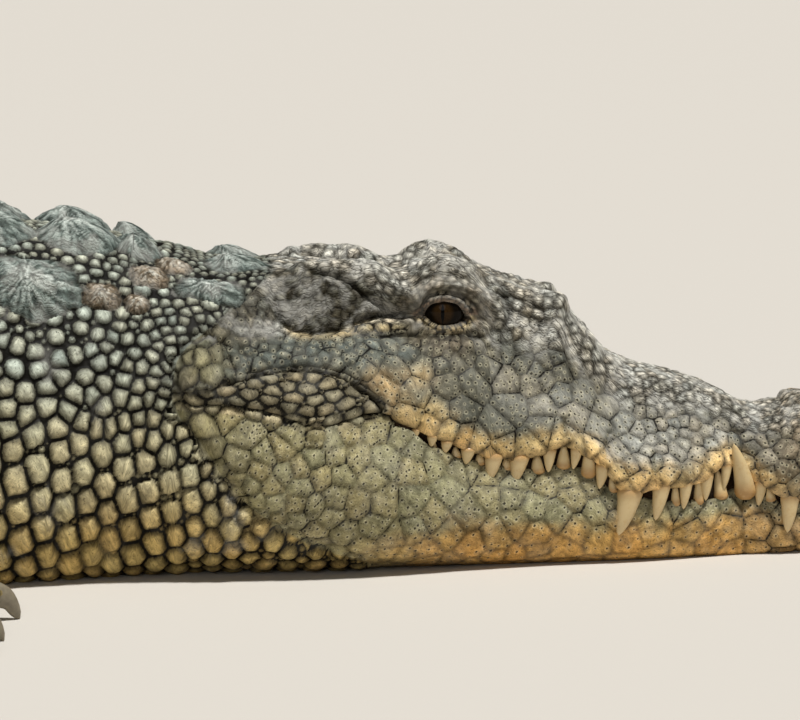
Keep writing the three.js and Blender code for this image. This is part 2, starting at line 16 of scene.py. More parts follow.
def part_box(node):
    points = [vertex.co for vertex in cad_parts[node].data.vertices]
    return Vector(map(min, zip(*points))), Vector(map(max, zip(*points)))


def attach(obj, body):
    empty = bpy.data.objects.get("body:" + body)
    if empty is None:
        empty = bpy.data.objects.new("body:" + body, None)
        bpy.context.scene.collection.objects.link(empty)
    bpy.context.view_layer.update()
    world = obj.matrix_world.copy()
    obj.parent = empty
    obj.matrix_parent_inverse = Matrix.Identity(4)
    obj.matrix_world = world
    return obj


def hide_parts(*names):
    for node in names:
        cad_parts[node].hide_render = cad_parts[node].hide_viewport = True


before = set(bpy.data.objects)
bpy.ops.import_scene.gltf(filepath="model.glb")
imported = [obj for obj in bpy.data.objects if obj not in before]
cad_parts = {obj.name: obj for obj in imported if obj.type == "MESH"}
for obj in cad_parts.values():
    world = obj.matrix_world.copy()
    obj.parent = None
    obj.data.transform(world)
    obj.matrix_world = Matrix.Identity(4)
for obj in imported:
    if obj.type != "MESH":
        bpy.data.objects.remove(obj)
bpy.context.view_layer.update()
rng = np.random.default_rng(11)

# ---------------------------------------------------------------- driving dimensions
MM = 0.001
TIP_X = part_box("head")[1].x + 1.5 * MM  # the head solid starts 1.5 mm behind the snout tip
TOTAL_LENGTH = 3600
MOUTH_CORNER = 410
HEAD_END = 604
NECK_END = 850
TRUNK_MIDDLE = 1310
TAIL_START = 1830
TAIL_BEND_START = 2350
TAIL_BEND_ANGLE = math.radians(34)
EYE_S, EYE_Z = 366.0, 222.0
EYE_CENTRE = np.array([EYE_S, 52.0, EYE_Z])
EYE_RADIUS = 21.0
CROWN_HALF = 34  # nearer to the midline than this is the top of the head, not its side
BODY_REACH = 240  # beside the neck, only a forefoot is further than this from the midline
NECK_OVERLAP = 9  # how far the neck's skin runs on under that of the trunk
TRUNK_OVERLAP = 24  # how far the trunk starts inside the neck
TRUNK_TAIL = 30  # how far the trunk runs on into the tail
SIDES = (("right", -1), ("left", 1))
HEAD_STEP = 1.3  # distance between stations of the skin
NECK_STEP = 1.7
UPPER_ROWS, MOUTH_ROWS, LOWER_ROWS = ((176, 12, 122))
SIDE_ROWS = UPPER_ROWS + MOUTH_ROWS + LOWER_ROWS
FLESH_STEP = 3.7  # size of the cells of the trunk's and legs' skin
TAIL_STEP, TAIL_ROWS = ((3.4, 96))


# ---------------------------------------------------------------- small tools
def smooth(x, low, high):
    t = np.clip((x - low) / (high - low), 0, 1)
    return t * t * (3 - 2 * t)


def mix(a, b, t):
    return a + (b - a) * t


def bell(distance, width):
    return np.exp(-((distance / width) ** 2))


def unit(v):
    return v / np.maximum(np.linalg.norm(v, axis=-1, keepdims=True), 1e-9)


def curve(stations):
    """A smooth function through (place, value) stations that never overshoots them."""
    s, v = np.array(stations, float).T
    rise = np.diff(v) / np.diff(s)
    before, after = rise[:-1], rise[1:]
    total = np.where(before + after == 0, 1, before + after)
    inner = np.where(before * after > 0, 2 * before * after / total, 0)
    slope = np.concatenate([rise[:1], inner, rise[-1:]])

    def value(x):
        x = np.clip(x, s[0], s[-1])
        i = np.clip(np.searchsorted(s, x) - 1, 0, len(s) - 2)
        span = s[i + 1] - s[i]
        t = (x - s[i]) / span
        a = v[i] * (1 + 2 * t) + slope[i] * span * t
        b = v[i + 1] * (3 - 2 * t) - slope[i + 1] * span * (1 - t)
        return a * (1 - t) ** 2 + b * t**2

    return value


def lumps(places, size, seed):
    """Smooth random values between -1 and 1, with bumps about size apart."""
    p = np.asarray(places, float) / size + seed * 17.31
    corner = np.floor(p).astype(np.int64)
    part = p - corner
    part = part * part * (3 - 2 * part)
    total = np.zeros(p.shape[:-1])
    for n in range(8):
        step = np.array([n & 1, n >> 1 & 1, n >> 2 & 1])
        h = corner + step
        key = (h[..., 0] * 73856093) ^ (h[..., 1] * 19349663) ^ (h[..., 2] * 83492791)
        key = (key ^ (seed * 7919) ^ (key >> 13)) * 1274126177
        value = ((key >> 7) & 0xFFFF) / 32767.5 - 1
        total += value * np.prod(np.where(step == 1, part, 1 - part), axis=-1)
    return total


def tree_of(places):
    tree = KDTree(len(places))
    for i, place in enumerate(places):
        tree.insert(place, i)
    tree.balance()
    return tree


def lip_height(s, lip):
    """The height of a lip and, behind the corner of the mouth, of the line that goes on."""
    return np.where(s < MOUTH_CORNER, lip(s), cheek_line(s))


def turns(sides):
    """Angles all the way round, one for each side."""
    return np.linspace(0, 2 * math.pi, sides, endpoint=False)


def sheet_points(*columns):
    return np.stack(np.broadcast_arrays(*columns), axis=-1)


def linear(red, green, blue):
    """A screen colour (0-255) as linear light."""
    c = np.array([red, green, blue]) / 255
    return np.where(c <= 0.04045, c / 12.92, ((c + 0.055) / 1.055) ** 2.4)


def shade(red, green, blue):
    return (*(float(c) for c in linear(red, green, blue)), 1.0)


def add_object(name, data):
    made = bpy.data.objects.new(name, data)
    bpy.context.scene.collection.objects.link(made)
    return made


def read_all(items, field, count, kind):
    """A field of every vertex, edge or corner of a mesh; count is how many values each has."""
    values = np.empty(len(items) * count, kind)
    items.foreach_get(field, values)
    return values


# ---------------------------------------------------------------- curves along the body
head_top = curve([
    (0, 104), (8, 119), (22, 130), (40, 135), (60, 133), (80, 129), (94, 132), (114, 142),
    (150, 157), (190, 167), (222, 182), (245, 203), (272, 226), (310, 242), (366, 250),
    (400, 252), (450, 257), (500, 262), (560, 266), (604, 278),
])
ridge_width = curve([
    (0, 6), (22, 27), (45, 33), (90, 24), (190, 34), (250, 40), (310, 50), (366, 58),
    (400, 58), (450, 64), (492, 70), (530, 74), (604, 78),
])
ridge_rise = curve([
    (0, -8), (40, -4), (90, -5), (200, -5), (250, 4), (275, 4), (300, 0), (326, 6),
    (346, 17), (366, 21), (384, 15), (396, 6), (410, 3), (462, 4), (482, 1), (510, -8), (604, -22),
])
flank_width = curve([
    (0, 9), (22, 36), (45, 44), (90, 34), (195, 52), (300, 66), (340, 70), (366, 73),
    (395, 68), (430, 74), (480, 86), (520, 98), (604, 122),
])
flank_height = curve([
    (0, 86), (45, 116), (90, 112), (150, 124), (200, 134), (300, 178), (366, 212),
    (430, 218), (500, 220), (604, 226),
])
cheek_width = curve([
    (0, 10), (22, 40), (50, 53), (92, 42), (130, 56), (195, 72), (250, 76), (300, 84),
    (366, 98), (430, 113), (500, 130), (560, 139), (604, 141),
])
cheek_height = curve([
    (0, 76), (50, 86), (92, 96), (150, 96), (200, 98), (260, 124), (300, 136), (366, 160),
    (430, 180), (500, 184), (604, 180),
])
lip_width = curve([
    (0, 11), (10, 26), (25, 41), (50, 56), (70, 57), (92, 45), (112, 54), (160, 76),
    (196, 86), (260, 83), (300, 90), (360, 103), (410, 116),
])
upper_lip = curve([
    (0, 62), (28, 54), (55, 51), (72, 58), (94, 69), (118, 81), (140, 71), (168, 68),
    (188, 68), (203, 63), (214, 68), (228, 86), (246, 98), (262, 107), (280, 100),
    (310, 96), (340, 103), (375, 117), (410, 132),
])
lower_lip = curve([
    (0, 50), (40, 45), (65, 46), (90, 55), (107, 57), (128, 51), (160, 51), (190, 57),
    (220, 65), (240, 80), (262, 87), (285, 83), (315, 87), (350, 96), (380, 109), (410, 130),
])
cheek_line = curve([(410, 131), (450, 137), (500, 141), (560, 150), (604, 158)])
jaw_width = curve([
    (0, 8), (10, 20), (25, 34), (50, 48), (92, 47), (130, 57), (195, 77), (260, 85),
    (340, 104), (410, 128), (450, 138), (500, 145), (560, 146), (604, 142),
])
jaw_height = curve([(0, 30), (130, 30), (260, 42), (350, 56), (430, 78), (520, 98), (604, 110)])
jaw_foot = curve([
    (0, 5), (25, 16), (50, 26), (140, 46), (265, 60), (430, 66), (520, 62), (604, 60),
])
body_top = curve([
    (604, 276), (660, 288), (730, 297), (820, 304), (950, 318), (1120, 334), (1300, 340),
    (1500, 330), (1650, 302), (1800, 262), (2100, 208), (2500, 158), (2900, 118), (3300, 80),
    (3560, 42), (3600, 30),
])
body_width = curve([
    (604, 141), (640, 141), (700, 151), (770, 168), (860, 200), (960, 232), (1100, 262),
    (1280, 280), (1450, 272), (1600, 234), (1720, 190), (1820, 150), (2050, 108), (2350, 74),
    (2700, 50), (3100, 29), (3400, 17), (3600, 7),
])
body_foot = curve([
    (604, 60), (700, 76), (860, 110), (1280, 176), (1600, 140), (1820, 76), (2350, 34),
    (2900, 18), (3600, 4),
])
back_breadth = curve([(604, 0.66), (1280, 0.72), (1720, 0.66), (2000, 0.5), (3600, 0.45)])


# ---------------------------------------------------------------- rings of the smooth body
PATH_STEPS = 40  # points on each spline between two key points
LIP_KEY = 6  # which key point of a station is the edge of the upper lip
JAWS_CLOSE = (385, 425)  # where the rings of the open mouth pass into those behind it
HEAD_FADE = (560, 670)  # where the rings of the head pass into those of the body


def spline_paths(keys):
    """Centripetal splines through each station's key points; keys[station, key] is (y, z)."""
    first = 2 * keys[:, :1] - keys[:, 1:2]
    last = 2 * keys[:, -1:] - keys[:, -2:-1]
    k = np.concatenate([first, keys, last], axis=1)
    gap = np.sqrt(np.linalg.norm(np.diff(k, axis=1), axis=2)) + 1e-6
    t = np.linspace(0, 1, PATH_STEPS, endpoint=False)[None, :, None]
    parts = []
    for i in range(keys.shape[1] - 1):
        p0, p1, p2, p3 = (k[:, i + j] for j in range(4))
        d0, d1, d2 = (gap[:, i + j, None] for j in range(3))
        m1 = ((p1 - p0) / d0 - (p2 - p0) / (d0 + d1) + (p2 - p1) / d1) * d1
        m2 = ((p2 - p1) / d1 - (p3 - p1) / (d1 + d2) + (p3 - p2) / d2) * d1
        ends = (2 * t**3 - 3 * t**2 + 1) * p1[:, None] + (3 * t**2 - 2 * t**3) * p2[:, None]
        pull = (t**3 - 2 * t**2 + t) * m1[:, None] + (t**3 - t**2) * m2[:, None]
        parts.append(ends + pull)
    return np.maximum(np.concatenate([*parts, keys[:, -1:]], axis=1), 0)


def run_lengths(paths):
    step = np.linalg.norm(np.diff(paths, axis=1), axis=2)
    return np.concatenate([np.zeros((len(step), 1)), np.cumsum(step, axis=1)], axis=1)


def resample(paths, shares):
    """Each path's points at the given shares of its length."""
    run = run_lengths(paths)
    rings = np.empty((*shares.shape, 2))
    for i, path in enumerate(paths):
        at = shares[i] * run[i, -1]
        rings[i, :, 0] = np.interp(at, run[i], path[:, 0])
        rings[i, :, 1] = np.interp(at, run[i], path[:, 1])
    return rings


def even_shares(s, rows):
    return np.tile(np.linspace(0, 1, rows + 1), (len(s), 1))


def head_keys(s, open_mouth):
    """Key points of the upper side and of the lower side of the head at each station."""
    top = head_top(s)
    lip = upper_lip(s) if open_mouth else cheek_line(s)
    low_lip = lower_lip(s) if open_mouth else cheek_line(s)
    lip_y = lip_width(s) if open_mouth else mix(lip_width(s), jaw_width(s), smooth(s, 410, 500))
    inset = mix(8, 0, smooth(s, 330, MOUTH_CORNER)) if open_mouth else 0
    upper = [
        sheet_points(0 * s, top),
        sheet_points(ridge_width(s) * 0.55, top + ridge_rise(s) * 0.35),
        sheet_points(ridge_width(s), top + ridge_rise(s)),
        sheet_points(flank_width(s), flank_height(s)),
        sheet_points(cheek_width(s), cheek_height(s)),
        sheet_points(lip_y, mix(lip, cheek_height(s), 0.3)),
        sheet_points(lip_y - 3, lip),
    ]
    lower = [
        sheet_points(lip_y - 3 - inset, low_lip),
        sheet_points(jaw_width(s), jaw_height(s)),
        sheet_points(mix(jaw_foot(s), jaw_width(s), 0.75), jaw_height(s) * 0.3),
        sheet_points(jaw_foot(s), 0 * s),
        sheet_points(0 * s, 0 * s),
    ]
    return np.stack(upper, axis=1), np.stack(lower, axis=1)


def open_rings(s):
    """Half rings with the groove of the mouth between the lips."""
    upper, lower = head_keys(s, True)
    a, b = upper[:, -1], lower[:, 0]
    depth = np.minimum(13 * (1 - smooth(s, 380, MOUTH_CORNER)), 0.5 * a[:, 0])
    middle = (a[:, 1] + b[:, 1]) / 2
    gap = a[:, 1] - b[:, 1]
    mouth = np.stack([
        a,
        sheet_points(a[:, 0] - 0.5 * depth, a[:, 1] - 0.02 * gap),
        sheet_points(a[:, 0] - depth, middle + 0.2 * gap),
        sheet_points(a[:, 0] - depth - 1, middle - 0.2 * gap),
        sheet_points(b[:, 0] - 0.4 * depth, b[:, 1] + 0.04 * gap),
        b,
    ], axis=1)
    rings = [
        resample(spline_paths(upper), even_shares(s, UPPER_ROWS)),
        resample(spline_paths(mouth), even_shares(s, MOUTH_ROWS))[:, 1:-1],
        resample(spline_paths(lower), even_shares(s, LOWER_ROWS)),
    ]
    return np.concatenate(rings, axis=1)


def closed_rings(s):
    """Half rings behind the mouth, whose rows run on from the lips and spread out evenly."""
    upper, lower = head_keys(s, False)
    paths = spline_paths(np.concatenate([upper, lower[:, 1:]], axis=1))
    run = run_lengths(paths)
    lip_share = run[:, PATH_STEPS * LIP_KEY] / run[:, -1]
    even = smooth(s, 430, 640)
    high = mix(lip_share - 0.004, UPPER_ROWS / SIDE_ROWS, even)
    low = mix(lip_share + 0.004, (UPPER_ROWS + MOUTH_ROWS) / SIDE_ROWS, even)
    rows = np.array([0, UPPER_ROWS, UPPER_ROWS + MOUTH_ROWS, SIDE_ROWS])
    wanted = np.arange(SIDE_ROWS + 1)
    shares = np.array([np.interp(wanted, rows, [0, h, w, 1]) for h, w in zip(high, low)])
    return resample(paths, shares)


def body_paths(s):
    top, wide, foot = body_top(s), body_width(s), body_foot(s)
    keys = [
        (0 * s, top),
        (wide * back_breadth(s) * 0.55, top * 0.985),
        (wide * back_breadth(s), top * 0.9),
        (wide * 0.93, top * 0.68),
        (wide, top * 0.44),
        (wide * 0.92, top * 0.2),
        (mix(foot, wide, 0.55), top * 0.05),
        (foot, 0 * s),
        (0 * s, 0 * s),
    ]
    return spline_paths(np.stack([sheet_points(*key) for key in keys], axis=1))


def half_rings(s):
    """Every station's half ring, [station, row] = (y, z), from the back down to the belly."""
    rings = np.empty((len(s), SIDE_ROWS + 1, 2))
    front, closed, body = s < JAWS_CLOSE[1], s >= JAWS_CLOSE[1], s > HEAD_FADE[0]
    closing = front & (s > JAWS_CLOSE[0])
    if front.any():
        rings[front] = open_rings(s[front])
    if closing.any():
        share = smooth(s[closing], *JAWS_CLOSE)[:, None, None]
        rings[closing] = mix(rings[closing], closed_rings(s[closing]), share)
    if closed.any():
        rings[closed] = closed_rings(s[closed])
    if body.any():
        at = s[body]
        even = resample(body_paths(at), even_shares(at, SIDE_ROWS))
        rings[body] = mix(rings[body], even, smooth(at, *HEAD_FADE)[:, None, None])
    return rings


def whole_rings(s, rows=None):
    """Full rings: down the right side (negative y) and up the left, [station, row, (s, y, z)]."""
    half = half_rings(s) if rows is None else resample(body_paths(s), even_shares(s, rows))
    right = half * [-1, 1]
    left = half[:, -2:0:-1]
    ring = np.concatenate([right, left], axis=1)
    along = np.broadcast_to(s[:, None, None], (*ring.shape[:2], 1))
    return np.concatenate([along, ring], axis=2)


def grid_normals(grid):
    """Outward normals of a grid whose rows close round the body."""
    along = np.gradient(grid, axis=0)
    around = np.roll(grid, -1, axis=1) - np.roll(grid, 1, axis=1)
    return unit(np.cross(around, along))


def side_rows(side):
    """The rows of one side of a full ring, from the back down to the belly."""
    rows = np.arange(SIDE_ROWS + 1)
    return rows if side < 0 else (2 * SIDE_ROWS - rows) % (2 * SIDE_ROWS)


def snout_cap(ring):
    """Rings that close the snout tip with a rounded end."""
    middle = np.array([0, 0, 76.0])
    turns = np.linspace(0, math.pi / 2, 9)[1:]
    rings = [middle + (ring - middle) * max(math.cos(a), 0.02) for a in turns]
    for a, cap in zip(turns, rings):
        cap[:, 0] = -7 * math.sin(a)
    return np.array(rings[::-1])


# ---------------------------------------------------------------- lines drawn on the skin
def soft_line(points):
    """A smooth line through a few points, as short straight pieces."""
    keys = np.array([points], float)
    return spline_paths(keys - keys.min() + 1)[0][::8] + keys.min() - 1


def line_distance(a, b, points, reach):
    """The places (a, b) near a line, how far they are from it and how far along it they are."""
    line = soft_line(points)
    low, high = line.min(axis=0) - reach, line.max(axis=0) + reach
    near = np.flatnonzero((a > low[0]) & (a < high[0]) & (b > low[1]) & (b < high[1]))
    place = np.stack([a[near], b[near]], axis=1)
    best = np.full(len(near), 1e9)
    share = np.zeros(len(near))
    for i, (start, end) in enumerate(zip(line[:-1], line[1:])):
        way = end - start
        t = np.clip((place - start) @ way / max(way @ way, 1e-9), 0, 1)
        d = np.linalg.norm(place - start - t[:, None] * way, axis=1)
        closer = d < best
        best[closer] = d[closer]
        share[closer] = (i + t[closer]) / (len(line) - 1)
    return near, best, share


class Skin:
    """Places on the skin, what is known about each of them, and how they are coloured.

    places are (s, y, z); find_normals gives their outward normals. tint is a colour in linear
    light, edge the depth inside a scale (mm, less than 0 between scales), spot the distance to
    a scale's own pit (mm), pit how thickly the skin is set with fine pits, and crumple how
    wrinkled it is."""

    def __init__(self, places, find_normals):
        self.places = places
        self.find_normals = find_normals
        self.normals = find_normals(places)
        self.s, self.z = places[:, 0], places[:, 2]
        self.wide = np.abs(places[:, 1])
        count = len(places)
        self.rise = np.zeros(count)
        self.tint = np.ones((count, 3))
        self.edge = np.full(count, 9.0)
        self.spot = np.full(count, 9.0)
        self.pit = np.zeros(count)
        self.crumple = np.zeros(count)

    def stroke(self, points, height, width, ends=0.15, above=False):
        """A fold or ridge along a line seen from the side (s, z) or from above (s, y)."""
        other = self.wide if above else self.z
        near, d, share = line_distance(self.s, other, points, 3 * width)
        strength = bell(d, width) * smooth(share, 0, ends) * smooth(1 - share, 0, ends)
        if not above:
            strength = strength * self.on_side(near)
        self.rise[near] += height * strength
        return near, strength

    def draw(self, points, width, amount, colour, ends=0.15):
        """A soft line of colour on the side of the head."""
        near, strength = self.stroke(points, 0, width, ends)
        self.paint(amount * strength, colour, near)

    def bump(self, s, z, size_s, size_z, height, above=False):
        """A rounded lump round a place seen from the side (s, z) or from above (s, y)."""
        other = self.wide if above else self.z
        strength = bell(np.hypot((self.s - s) / size_s, (other - z) / size_z), 1)
        if not above:
            strength = strength * self.on_side()
        self.rise += height * strength
        return strength

    def on_side(self, near=slice(None)):
        """0 along the midline of the head, 1 on its sides."""
        half = 0.45 * flank_width(self.s[near])
        return smooth(self.wide[near], half, half + 8)

    def from_eye(self):
        """How far each place is from the eye, seen from the side; heights count for more."""
        return np.hypot(self.s - EYE_S, (self.z - EYE_Z) * 1.2)

    def height_share(self):
        """0 at the upper lip, 1 at the top of the head."""
        lip = lip_height(self.s, upper_lip)
        return (self.z - lip) / (head_top(self.s) - lip)

    def paint(self, strength, colour, near=slice(None)):
        self.tint[near] = mix(self.tint[near], linear(*colour), np.asarray(strength)[..., None])

    def settle(self):
        """Moves the places out along their normals by the rise, and starts a new rise."""
        self.places += self.normals * self.rise[:, None]
        self.places[:, 2] = np.maximum(self.places[:, 2], 0)
        self.wide = np.abs(self.places[:, 1])
        self.normals = self.find_normals(self.places)
        self.rise = np.zeros(len(self.rise))


# ---------------------------------------------------------------- head: lids, folds and creases
EYE_CORNERS = (343, 388)
CORNER_HEIGHT = 220
eye_top = curve([
    (343, 217), (350, 223.5), (357, 228.5), (367, 231), (378, 229), (388, 221.5),
])
eye_low = curve([
    (343, 217), (348, 213.5), (358, 211.5), (370, 211.5), (380, 214.5), (388, 221.5),
])
# Where the jaw and the skull end and the neck begins: s for each height.
jowl = curve([
    (0, 432), (12, 440), (23, 470), (33, 494), (40, 506), (60, 533), (80, 555), (102, 570),
    (126, 585), (144, 600), (165, 607), (186, 605), (203, 594), (220, 570), (237, 546),
    (248, 530), (262, 512), (275, 504), (300, 498),
])
fold_high = curve([
    (410, 133), (428, 146), (437, 157), (450, 169), (467, 176), (489, 182), (506, 183),
    (528, 180), (549, 176), (570, 170), (592, 166),
])
fold_low = curve([
    (412, 132), (432, 142), (454, 138), (476, 134), (498, 138), (519, 146), (549, 153), (592, 157),
])
LID_THICKNESS = 3.8
crest_foot = curve([
    (404, 226), (420, 229), (431, 235), (442, 242), (451, 250), (463, 256), (481, 260), (500, 262),
])
flap_foot = curve([
    (404, 222), (430, 219), (449, 213), (475, 210), (492, 211), (503, 215), (514, 226), (518, 250),
])


def eye_opening(s, z):
    """How far inside the eye's opening a place is, seen from the side; negative outside."""
    within = np.minimum(eye_top(s) - z - 0.6, z - eye_low(s) + 0.4)
    beyond = np.maximum(np.maximum(EYE_CORNERS[0] - s, s - EYE_CORNERS[1]), 0)
    return 1.6 + np.where(beyond > 0, -np.hypot(beyond, z - CORNER_HEIGHT), within)


def shape_lids(skin):
    """Draws the lids over the eyeball and sinks the skin behind the opening."""
    beside = (np.abs(skin.s - EYE_S) < 60) & (np.abs(skin.z - EYE_Z) < 50)
    near = np.flatnonzero(beside & (skin.wide > CROWN_HALF))
    places = skin.places[near]
    side = np.sign(places[:, 1:2])
    centre = EYE_CENTRE * np.concatenate([0 * side + 1, side, 0 * side + 1], axis=1)
    away = places - centre
    radius = np.linalg.norm(away, axis=1)
    opening = eye_opening(places[:, 0], places[:, 2])
    lid = mix(EYE_RADIUS + LID_THICKNESS, EYE_RADIUS - 6, smooth(opening, -1.2, 2.4))
    hold = 1 - smooth(-opening, 4, 17)
    skin.places[near] = centre + away * (mix(radius, lid, hold) / radius)[:, None]


CREST = [(488, 264), (469, 270), (448, 266), (430, 255), (413, 246), (396, 239)]
EAR_SLIT = [(394, 220.5), (408, 221.5), (424, 221), (438, 219), (450, 216)]
HEAD_FOLDS = [  # line seen from the side, height, width
    ([(s, float(fold_high(s))) for s in range(418, 594, 20)], -4.2, 2.0),
    ([(s, float(fold_low(s))) for s in range(410, 594, 20)], -4.4, 2.0),
    ([(458, 167), (436, 157), (427, 146), (417, 136), (406, 127)], -3.6, 2.0),
    ([(420, 150), (450, 174), (469, 182), (497, 186), (530, 184), (558, 179)], -3.0, 2.0),
    ([(410, 150), (436, 176), (462, 189), (497, 193), (530, 190)], 2.0, 4.0),
    ([(565, 212), (559, 197), (553, 181), (556, 169)], -4.0, 3.2),
    ([(549, 206), (543, 192), (541, 178)], -2.4, 2.6),
    (EAR_SLIT, -10.0, 3.0),
    ([(517, 243), (514, 225), (503, 215), (492, 211), (475, 210), (462, 211), (449, 213)],
     -5.5, 3.0),
    ([(492, 262), (481, 260), (463, 256), (451, 250), (442, 242), (431, 235), (420, 229),
      (404, 227)], -7.0, 3.4),
    ([(500, 258), (486, 266), (469, 269), (448, 266), (430, 258), (413, 248), (398, 240),
      (388, 233)], 7.5, 6.5),
    ([(448, 211.5), (424, 211.5), (396, 210.5)], 3.2, 3.4),
    ([(454, 205), (427, 204), (405, 204), (383, 203), (362, 202), (340, 201), (326, 201)],
     -4.0, 2.6),
    ([(482, 252), (483, 240), (486, 228)], -2.2, 1.8),
    ([(470, 252), (472, 240), (473, 226)], -1.8, 1.6),
    ([(458, 250), (461, 238), (461, 226)], -1.2, 1.5),
    ([(500, 252), (502, 240), (506, 228)], -1.8, 1.8),
    ([(322, 242), (312, 232), (309, 219), (315, 205)], -3.2, 3.6),
    ([(320, 240), (303, 232), (285, 225), (275, 217)], -2.6, 3.0),
    ([(320, 259), (299, 249), (283, 242)], 3.6, 6.0),
    ([(304, 222), (288, 214), (270, 204)], -2.2, 4.0),
    ([(104, 62), (104, 80), (103, 100), (102, 116)], -2.2, 9.0),
    ([(262, 112), (263, 120), (262, 132)], -2.0, 3.2),
    ([(228, 92), (226, 104), (222, 118)], -1.6, 3.0),
    ([(185, 70), (184, 84), (184, 98)], -1.8, 2.6),
]
HEAD_LUMPS = [  # place seen from the side, half-sizes, height
    (581, 190, 19, 21, 7), (466, 236, 34, 16, 5), (265, 227, 15, 10, 6.5), (57, 82, 20, 22, 3),
    (196, 90, 22, 20, 4), (150, 92, 20, 18, 2), (268, 124, 30, 20, 2.5), (490, 198, 60, 14, 2.5),
    (306, 253, 5, 5, 2.6), (296, 250, 5, 5, 2.4), (286, 245, 5, 5, 2.4), (311, 211, 7, 7, 3.2),
    (408, 240, 20, 9, 5), (302, 203, 7, 6, 2.4), (296, 222, 8, 6, 2.6), (285, 210, 8, 7, 2.2),
    (330, 196, 9, 6, 1.6),
]
LID_FOLDS = [  # as HEAD_FOLDS, drawn once the lids have their shape
    ([(396, 219), (392, 229), (385, 239), (374, 245), (361, 246), (348, 242), (337, 237),
      (328, 231), (321, 223), (319, 213), (326, 205)], 7.0, 4.2),
    ([(404, 232), (396, 241), (385, 249), (372, 254), (357, 254), (342, 249), (329, 243),
      (317, 235), (310, 224), (308, 211)], -1.4, 3.0),
    ([(388, 225), (382, 236.5), (368, 240.5), (352, 237), (341, 229), (333, 218)], -3.2, 2.0),
    ([(392, 226), (385, 239), (371, 244.5), (352, 242), (337, 234), (327, 222)], -2.4, 1.2),
    ([(393, 212), (383, 208), (366, 205.5), (348, 207), (335, 210)], 1.8, 2.2),
]
NOSTRIL = [(24, 17), (20, 12), (25, 7), (34, 6), (41, 10)]  # a slit seen from above


def neck_share(s, z):
    """0 on the head, 1 behind the jaw and the skull."""
    return smooth(s - jowl(z), -3, 3)


def shape_head(skin):
    """The large folds and lumps of the head."""
    skin.bump(250, 40, 26, 12, 3, above=True)
    skin.bump(455, 12, 55, 26, -4, above=True)
    for s, z, size_s, size_z, height in HEAD_LUMPS:
        skin.bump(s, z, size_s, size_z, height)
    for points, height, width in HEAD_FOLDS:
        skin.stroke(points, height, width)
    crease = [(float(jowl(z)), z) for z in range(16, 250, 26)]
    skin.stroke(crease, -8, 6.5, ends=0.05)
    disc = smooth(58 - skin.s, 0, 8) * smooth(skin.z, 118, 130)
    skin.rise += 4 * disc * smooth(30 - skin.wide, 0, 8)
    skin.stroke([(60, 0), (60, 20), (54, 34)], -3, 4, ends=0.01, above=True)
    nostril = skin.stroke(NOSTRIL, -7, 2.6, above=True)
    skin.settle()
    shape_lids(skin)
    skin.settle()
    for points, height, width in LID_FOLDS:
        skin.stroke(points, height, width)
    skin.settle()
    return nostril


def crinkle(places):
    """Uneven swellings and creases, about 0 on average."""
    drawn = places * [0.55, 1, 1]
    broad = np.abs(lumps(places, 17, 23))
    coarse = np.abs(lumps(drawn, 8, 21))
    return 4.2 * (0.28 - broad) + 3.0 * (0.28 - coarse)


# ---------------------------------------------------------------- scales
class Scales:
    """Scales placed over the skin. A cracked one fills its share of the skin up to its
    neighbours; a bead is an oval dome, with half-sizes along and round the body."""

    def __init__(self):
        self.rows = []

    def add(self, place, normal, half, tall=1.0, bead=False, height=1.0):
        shade = rng.uniform(-1, 1, 3)
        self.rows.append((*place, *normal, half, half * tall, bead, height, *shade))

    def ready(self):
        rows = np.array(self.rows)
        self.place, normal = rows[:, :3], unit(rows[:, 3:6])
        self.half = rows[:, 6:8]
        self.bead = rows[:, 8] > 0.5
        self.height = rows[:, 9]
        self.shade = rows[:, 10:13]
        self.along = unit(np.array([1.0, 0, 0]) - normal * normal[:, :1])
        self.around = np.cross(normal, self.along)
        self.around *= np.where(self.around[:, 2:] < 0, -1, 1)
        self.tree = tree_of(self.place)


def spread(places, spacing, free, taken=(), order=None):
    """Picks places at random or in order, none nearer to an earlier one than its spacing, and
    none within the reach of a taken (place, reach)."""
    tree = tree_of(places)
    free = free.copy()
    for place, reach in taken:
        for _, other, _ in tree.find_range(place, reach):
            free[other] = False
    picked = []
    for i in rng.permutation(len(places)) if order is None else order:
        if not free[i]:
            continue
        picked.append(i)
        for _, other, _ in tree.find_range(places[i], spacing[i]):
            free[other] = False
    return picked


CRACK_REACH = 1.5  # how far from a crack a plate reaches its full height
BEAD_CRACK = 0.06  # half the crack between beads that touch, as a share of their half-width


def crack_distance(places, scales, found):
    """How far each place is inside the borders between its own scale and the next ones."""
    core, others = scales.place[found[:, :1]], scales.place[found[:, 1:]]
    gaps = others - core
    middle = (others + core) / 2
    wide = np.maximum(np.linalg.norm(gaps, axis=2), 1e-6)
    to_border = np.einsum("nkc,nkc->nk", middle - places[:, None], gaps) / wide
    return to_border.min(axis=1)


